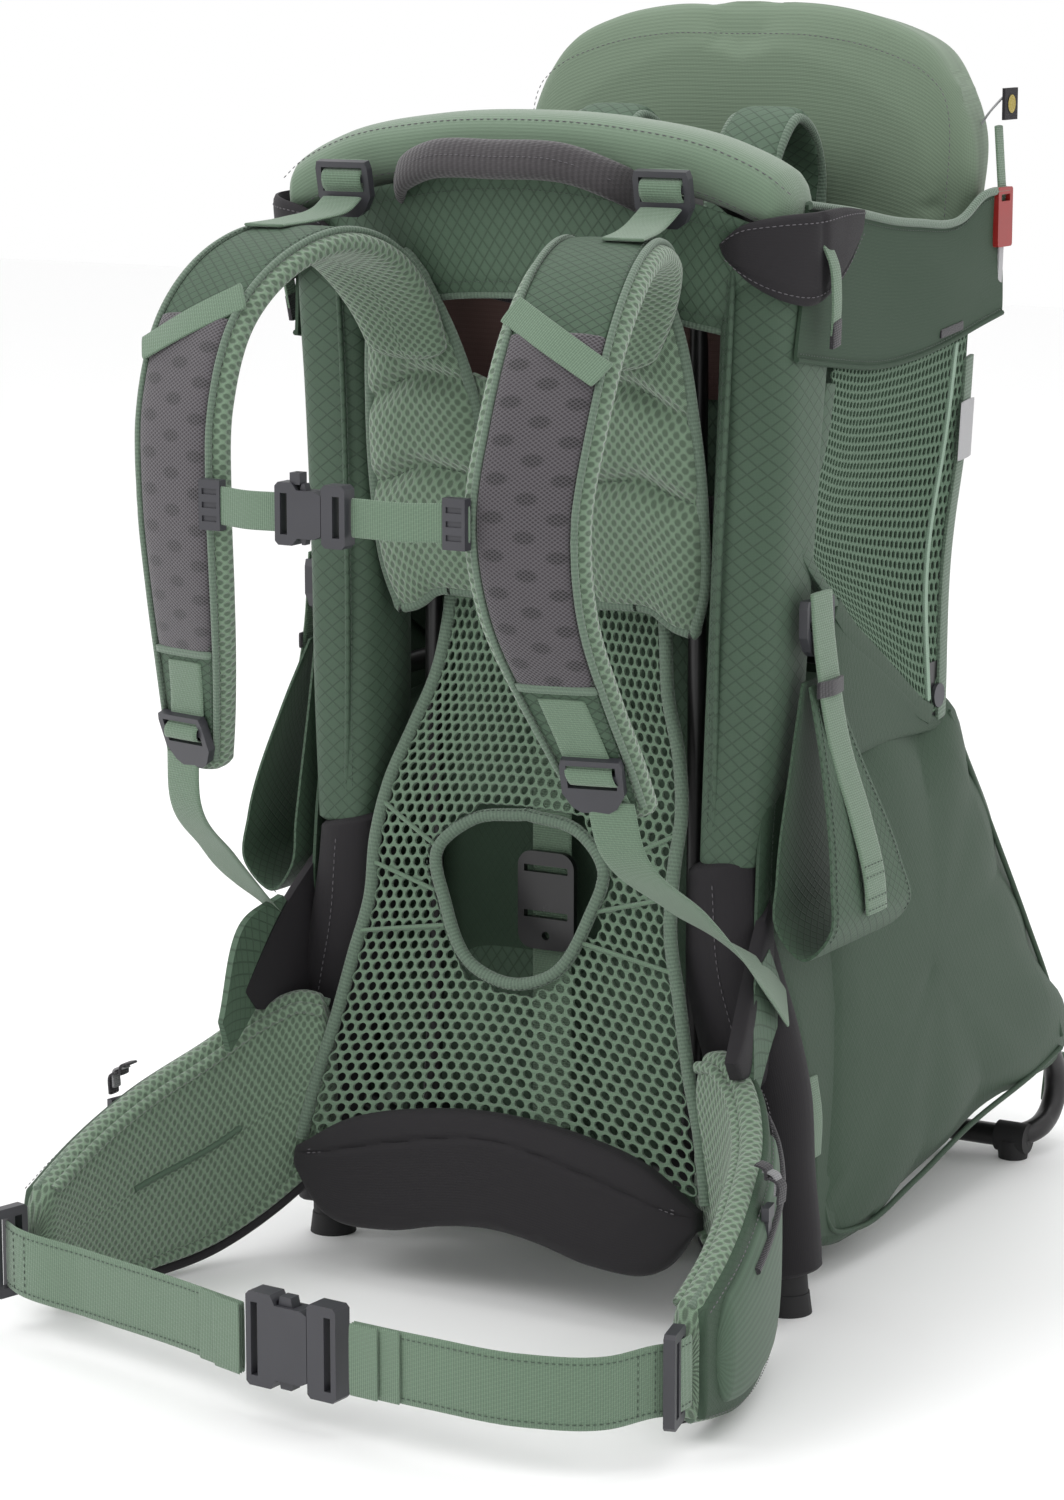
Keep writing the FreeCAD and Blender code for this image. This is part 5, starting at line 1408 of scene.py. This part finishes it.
def makeWing(side, label):
    body = sweep("wing_pad", wingLine(side), spacerCloth, 100, 44, 3.4, 0.010)
    cover = sweep("wing_cover", wingLine(side, 0.08, 0.985, 5, 6.5, 9), bagCloth, 80, 32, 4, 0.004)
    pocket = sweep("wing_pocket", wingLine(side, 0.30, 0.93, 20, 9.5, 14), pocketCloth, 80, 32, 2.6, 0.012)
    parts = [body, cover, pocket]

    def along(start, end, u, lift, count=14):
        return [wingPoint(side, s, u, lift) for s in np.linspace(start, end, count)]

    for u, lift in ((-0.93, 1.0), (0.93, 1.5)):
        parts.append(cordAlong("wing_pipe", along(0.02, 0.97, u, lift), 0.0026, bindingTape, 110, 10))
    # channels pressed into the inner face, drawn as darker cords of painted shade
    parts.append(cordAlong("wing_channel_shade", along(0.30, 0.66, 0.05, -9.9, 9), 0.0019, pocketCloth, 90, 8))
    for u in (-0.86, 0.86):
        parts.append(cordAlong("wing_roll", along(0.03, 0.95, u, -7.6), 0.0034, spacerCloth, 110, 10))
    parts.append(cordAlong("wing_border", along(0.05, 0.95, -0.97, -6.5), 0.0032, charcoalCloth, 110, 10))
    parts.append(cordAlong("wing_zip", along(0.16, 0.74, 0.56, 15.8, 12), 0.0022, darkTape, 80))
    lines = [along(0.04, 0.96, u, 11.3, 90) for u in (-0.86, 0.86)]
    parts.append(sewn("wing_seams", lines, paleThread, 0.0036, 0.0024, 0.0006))
    return joined("padded_wing_" + label, parts)


for label, side in sides.items():
    place(makeWing(side, label), "frame", ["hip_wing_" + label])
    # three pull loops at the edge of the pocket
    for n, (finish, out, low, width) in enumerate(pullRows):
        rows = [((side * (196 + n * 4), -132, 126 - n * 3), (0, 1, 0), (side * 0.5, 0, 1)),
                ((side * (out - 1), -132, 124 - n * 3), (0, 1, 0), (side, 0, 0.6)),
                ((side * out, -132, low), (0, 1, 0), (side, 0, 0))]
        place(strip("pull_%d_%s" % (n, label), rows, width, 1.6, finish), "frame")
print("belt made")


# hip and chest rows: place and the way the webbing faces, with its width upright
webbingValues = {
    "hipWidth": 38, "strapWidth": 25, "chestWidth": 20, "thick": 2,
    "right": [((-17, -289, 42), (0, -1, 0)), ((-78, -270, 41), (-0.1, -1, 0)),
              ((-140, -256, 41), (-0.2, -1, 0)),
              ((-197, -245, 43), (-0.4, -1, 0)), ((-206, -238, 43), (-0.8, -0.6, 0)),
              ((-207, -224, 43), (-1, 0, 0))],
    "left": [((52, -293.8, 45), (0, -1, 0)), ((100, -301, 47), (0, -1, 0)), ((150, -295, 45), (0.25, -1, 0)),
             ((186, -272, 43), (0.6, -0.8, 0)), ((199, -249, 44), (0.8, -0.6, 0)),
             ((206, -238, 44), (0.9, -0.4, 0)),
             ((207, -224, 44), (1, 0, 0))],
    "chest": [(50, -230, 459.5), (65, -227, 460), (80, -224, 460)], "chestEnds": {-1: -28.4, 1: 15.4},
    # place, the way the width runs, the way the webbing faces
    "lifter": [((98, -60, 607), (1, 0, 0), (0, -0.6, 1)), ((98, -72, 601), (1, 0, 0), (0, -0.3, 1)),
               ((103, -94, 597), (1, 0, 0), (0, 0, 1)), ((109, -122, 595), (1, 0, 0), (0, -0.2, 1))],
    "lower": [((131, -172, 316), (1, 0.25, 0), (0, -1, 0)), ((134, -167, 292), (1, 0.25, 0), (0, -1, -0.2)),
              ((146, -118, 250), (1, 0.1, -0.1), (0.1, -1, -0.6)),
              ((155, -66, 213), (0.7, -0.5, -0.5), (0.7, -0.5, 0)),
              ((156, -48, 201), (0.5, -0.6, -0.6), (1, -0.2, 0)),
              ((156, -20, 178), (0.4, -0.6, -0.7), (1, -0.1, 0))],
}


def makeHipWeb(label):
    upright = np.array([0.0, 0.0, 1.0])
    width, thick = webbingValues["hipWidth"], webbingValues["thick"]
    rows = [(p, (0, 0, 1), facing) for p, facing in webbingValues[label]]
    parts = [strip("hip_webbing_" + label, rows, width, thick, tape, steps=80)]
    s = spline([rowAt(*row, width, thick) for row in rows], 60)

    def stitched(p, height):
        return tuple(p[:3] + upright * height + unit(p[6:9]) * 0.0013)

    seams = [[stitched(p, edge * 0.0155) for p in s] for edge in (-1, 1)]
    seams += [[stitched(s[where], z) for z in np.linspace(-0.015, 0.015, 8)] for where in (6, 9, 48, 51)]
    parts.append(sewn("hip_seams", seams, thread, 0.0034, 0.0024, 0.0006))
    # the end of the webbing is folded back on itself twice
    for last, lift in ((11, 0.0021), (6, 0.0041)):
        fold = s[0:last + 1:2].copy()
        fold[:, :3] += unit(fold[:, 6:9]) * lift
        fold[:, 9], fold[:, 10] = width / 1000, 0.0017
        parts.append(sweep("hip_fold", fold, tape, 24, 12, 6, 0.0008, 60))
    place(joined("hip_web_" + label, parts), "frame", ["hip_webbing_" + label])


def makeChestWeb():
    chest = []
    for side, end in webbingValues["chestEnds"].items():
        line = [(end, -232, 460)] + [flip(p, side) for p in webbingValues["chest"]]
        chest.append(strip("sternum_webbing", line, webbingValues["chestWidth"], webbingValues["thick"], tape,
                           (0, 0, 1), (0, -1, 0)))
    place(joined("chest_web", chest), "sternum", ["sternum_webbings"])


def makeStrapWeb(key):
    # webbing that runs between the frame and the harness
    made = []
    for side in (-1, 1):
        rows = [(flip(p, side), (a[0], a[1] * side, a[2]), facing) for p, a, facing in webbingValues[key]]
        made.append(strip(key, rows, webbingValues["strapWidth"], webbingValues["thick"], tape, steps=60))
    blended(joined(key + "_web", made),
            [key + "_webbings"])


def makeThreadedWebs():
    # the short runs of webbing that pass over and under the bars of each ladder lock
    runs = []
    for side in (-1, 1):
        rows = [((side * 98, y, z), (1, 0, 0), (0, -1, tilt))
                for y, z, tilt in ((-51, 627, 0.3), (-57, 623, 0.3), (-61.5, 620, 0.2), (-61.5, 614, -0.2),
                                   (-57, 609, -0.4), (-54, 603, -0.4))]
        runs.append(strip("lifter_run", rows, 25, 2, tape))
    place(joined("lifter_runs", runs), "frame")
    runs = []
    for side in (-1, 1):
        lock = []
        steps = np.linalg.norm(np.diff(np.array(strapLine(side))[:, :3], axis=0), axis=1) * 1000
        middle, total = steps[:10].sum(), steps.sum()
        for shift, lift in ((-44, 8.6), (-14, 9.4), (-6.5, 10.5), (-3, 15.4),
                            (3, 15.4), (6.5, 10.5), (14, 9.4), (24, 9.0)):
            s = (middle + shift) / total
            row = strapPart(side, s, s, 0, lift, 1, 1)[0]
            lock.append([*row[:3], *unit(row[3:6]), *unit(row[6:9]), 0.025, 0.002])
        runs.append(sweep("strap_run", lock, tape, 40, 12, 6, 0.0008, 60))
    place(joined("strap_runs", runs), "harness")


for label in sides:
    makeHipWeb(label)
makeChestWeb()
makeStrapWeb("lifter")
makeStrapWeb("lower")
makeThreadedWebs()


# rows of the stirrup: place, the way it faces, and for the loop its width
stirrupValues = {
    "tape": [((157, 9, 402), (1, 0, 0)), ((158, 9, 388), (1, 0, 0)), ((161, 10, 360), (1, 0, 0.1)),
             ((169, 10, 318), (1, 0, 0.2)), ((178, 12, 280), (1, 0, 0.15)), ((186, 14, 246), (1, 0, 0.1)),
             ((187, 15, 228), (1, 0, 0))],
    "loop": [((159, 10, 352), (1, 0, 0.1), 27), ((172, 9, 312), (1, 0, 0.2), 46),
             ((186, 14, 250), (1, 0, 0.1), 86),
             ((187, 18, 224), (1, 0, -0.3), 100), ((170, 20, 208), (0, 0, -1), 100),
             ((155, 18, 224), (-1, 0, -0.3), 100), ((153.6, 14, 250), (-1, 0, 0), 86),
             ((154, 9, 312), (-1, 0, 0), 46), ((155, 10, 354), (-1, 0, 0), 27)],
    "keeper": [(165, -5, 350), (167, 10, 350), (165, 25, 350)],
}


def makeStirrup(side, label):
    depth = (0, 1, 0)
    loopRows = [rowAt(flip(p, side), depth, flip(facing, side), width, 2.4)
                for p, facing, width in stirrupValues["loop"]]
    loop = sweep("stirrup_loop", loopRows, strapCloth, 120, 14, 6, 0.001)
    lifted = [((side * (x + (2.2 if z > 300 else 5)), y, z), depth, flip(facing, side))
              for (x, y, z), facing in stirrupValues["tape"]]
    webbing = strip("stirrup_tape", lifted, 25, 2, tape)
    keeper = strip("stirrup_keeper", [flip(p, side) for p in stirrupValues["keeper"]], 9, 2, darkTape,
                   (0, 0, 1), (side, 0, 0))
    seams = []
    s = spline([rowAt(*r, 25, 2) for r in lifted], 60)
    for where in (50, 52, 56, 58):
        p = s[where]
        raised = p[:3] + unit(p[6:9]) * 0.0014
        seams.append([tuple(raised + np.array(depth) * y) for y in np.linspace(-0.010, 0.010, 7)])
    s = spline(loopRows[:5], 50)
    for edge in (-1, 1):
        seams.append([tuple(p[:3] + np.array(depth) * edge * (p[9] / 2 - 0.004) + unit(p[6:9]) * 0.0015)
                      for p in s])
    seam = sewn("stirrup_seams", seams, thread, 0.0034, 0.0024, 0.0007)
    piece = joined("foot_loop_" + label, [loop, webbing, keeper, seam])
    place(piece, "stirrup_" + label, ["stirrup_" + label])


for label, side in sides.items():
    makeStirrup(side, label)


trimValues = {
    "cord": [(142, 245, 640), (150, 240, 648), (157, 242, 656), (160, 244, 659)],
    "clip_tape": [(155, 240, 640), (157, 240, 615), (158, 240, 603)],
    "clip_tail": [(158, 240, 575), (157, 241, 556), (155, 243, 538)],
    "stand_tie": [((140, 372, 62), 0.3), ((141, 396, 52), 0), ((141, 394, 22), -0.4)],
}


def makeTrim():
    bottom, top = pts((160, 235, 643), (160, 253, 643)), pts((160, 235, 661), (160, 253, 661))
    grid = sheetGrid(bottom, top, [bottom[0], top[0]], [bottom[1], top[1]], 12, 12)
    tag = padOn("sun_tag", grid, 0.0009, 0.0009, (1, 0, 0), charcoalCloth)
    verts, faces, uvs = [at(161.3, 244, 652)], [], []
    for i in range(24):
        angle = i * math.pi / 12
        verts.append(at(161.3, 244 + 5.2 * math.cos(angle), 652 + 5.2 * math.sin(angle)))
    for i in range(24):
        faces.append((0, 1 + i, 1 + (i + 1) % 24))
        uvs += [(0, 0), (0.005, 0), (0.005, 0.005)]
    disc = newPiece("disc", verts, faces, uvs, yellowCloth)
    place(joined("disc_tag", [tag, disc]), "frame", ["sun_tag"])
    cord = cordAlong("tag_cord", pts(*trimValues["cord"]), 0.0007, labelCloth, 30)
    place(cord, "frame")
    for label, side in sides.items():
        for name, width, finish in (("clip_tape", 10, tape), ("clip_tail", 6, labelCloth)):
            line = [flip(p, side) for p in trimValues[name]]
            piece = strip(name + "_" + label, line, width, 1.4, finish, (0, 1, 0), (side, 0, 0))
            place(piece, "frame")
        rows = [(flip(p, side), (1, 0, 0), (0, 1, tilt)) for p, tilt in trimValues["stand_tie"]]
        place(strip("stand_tie_" + label, rows, 22, 1.8, tape), "stand")


makeTrim()
print("trim made")
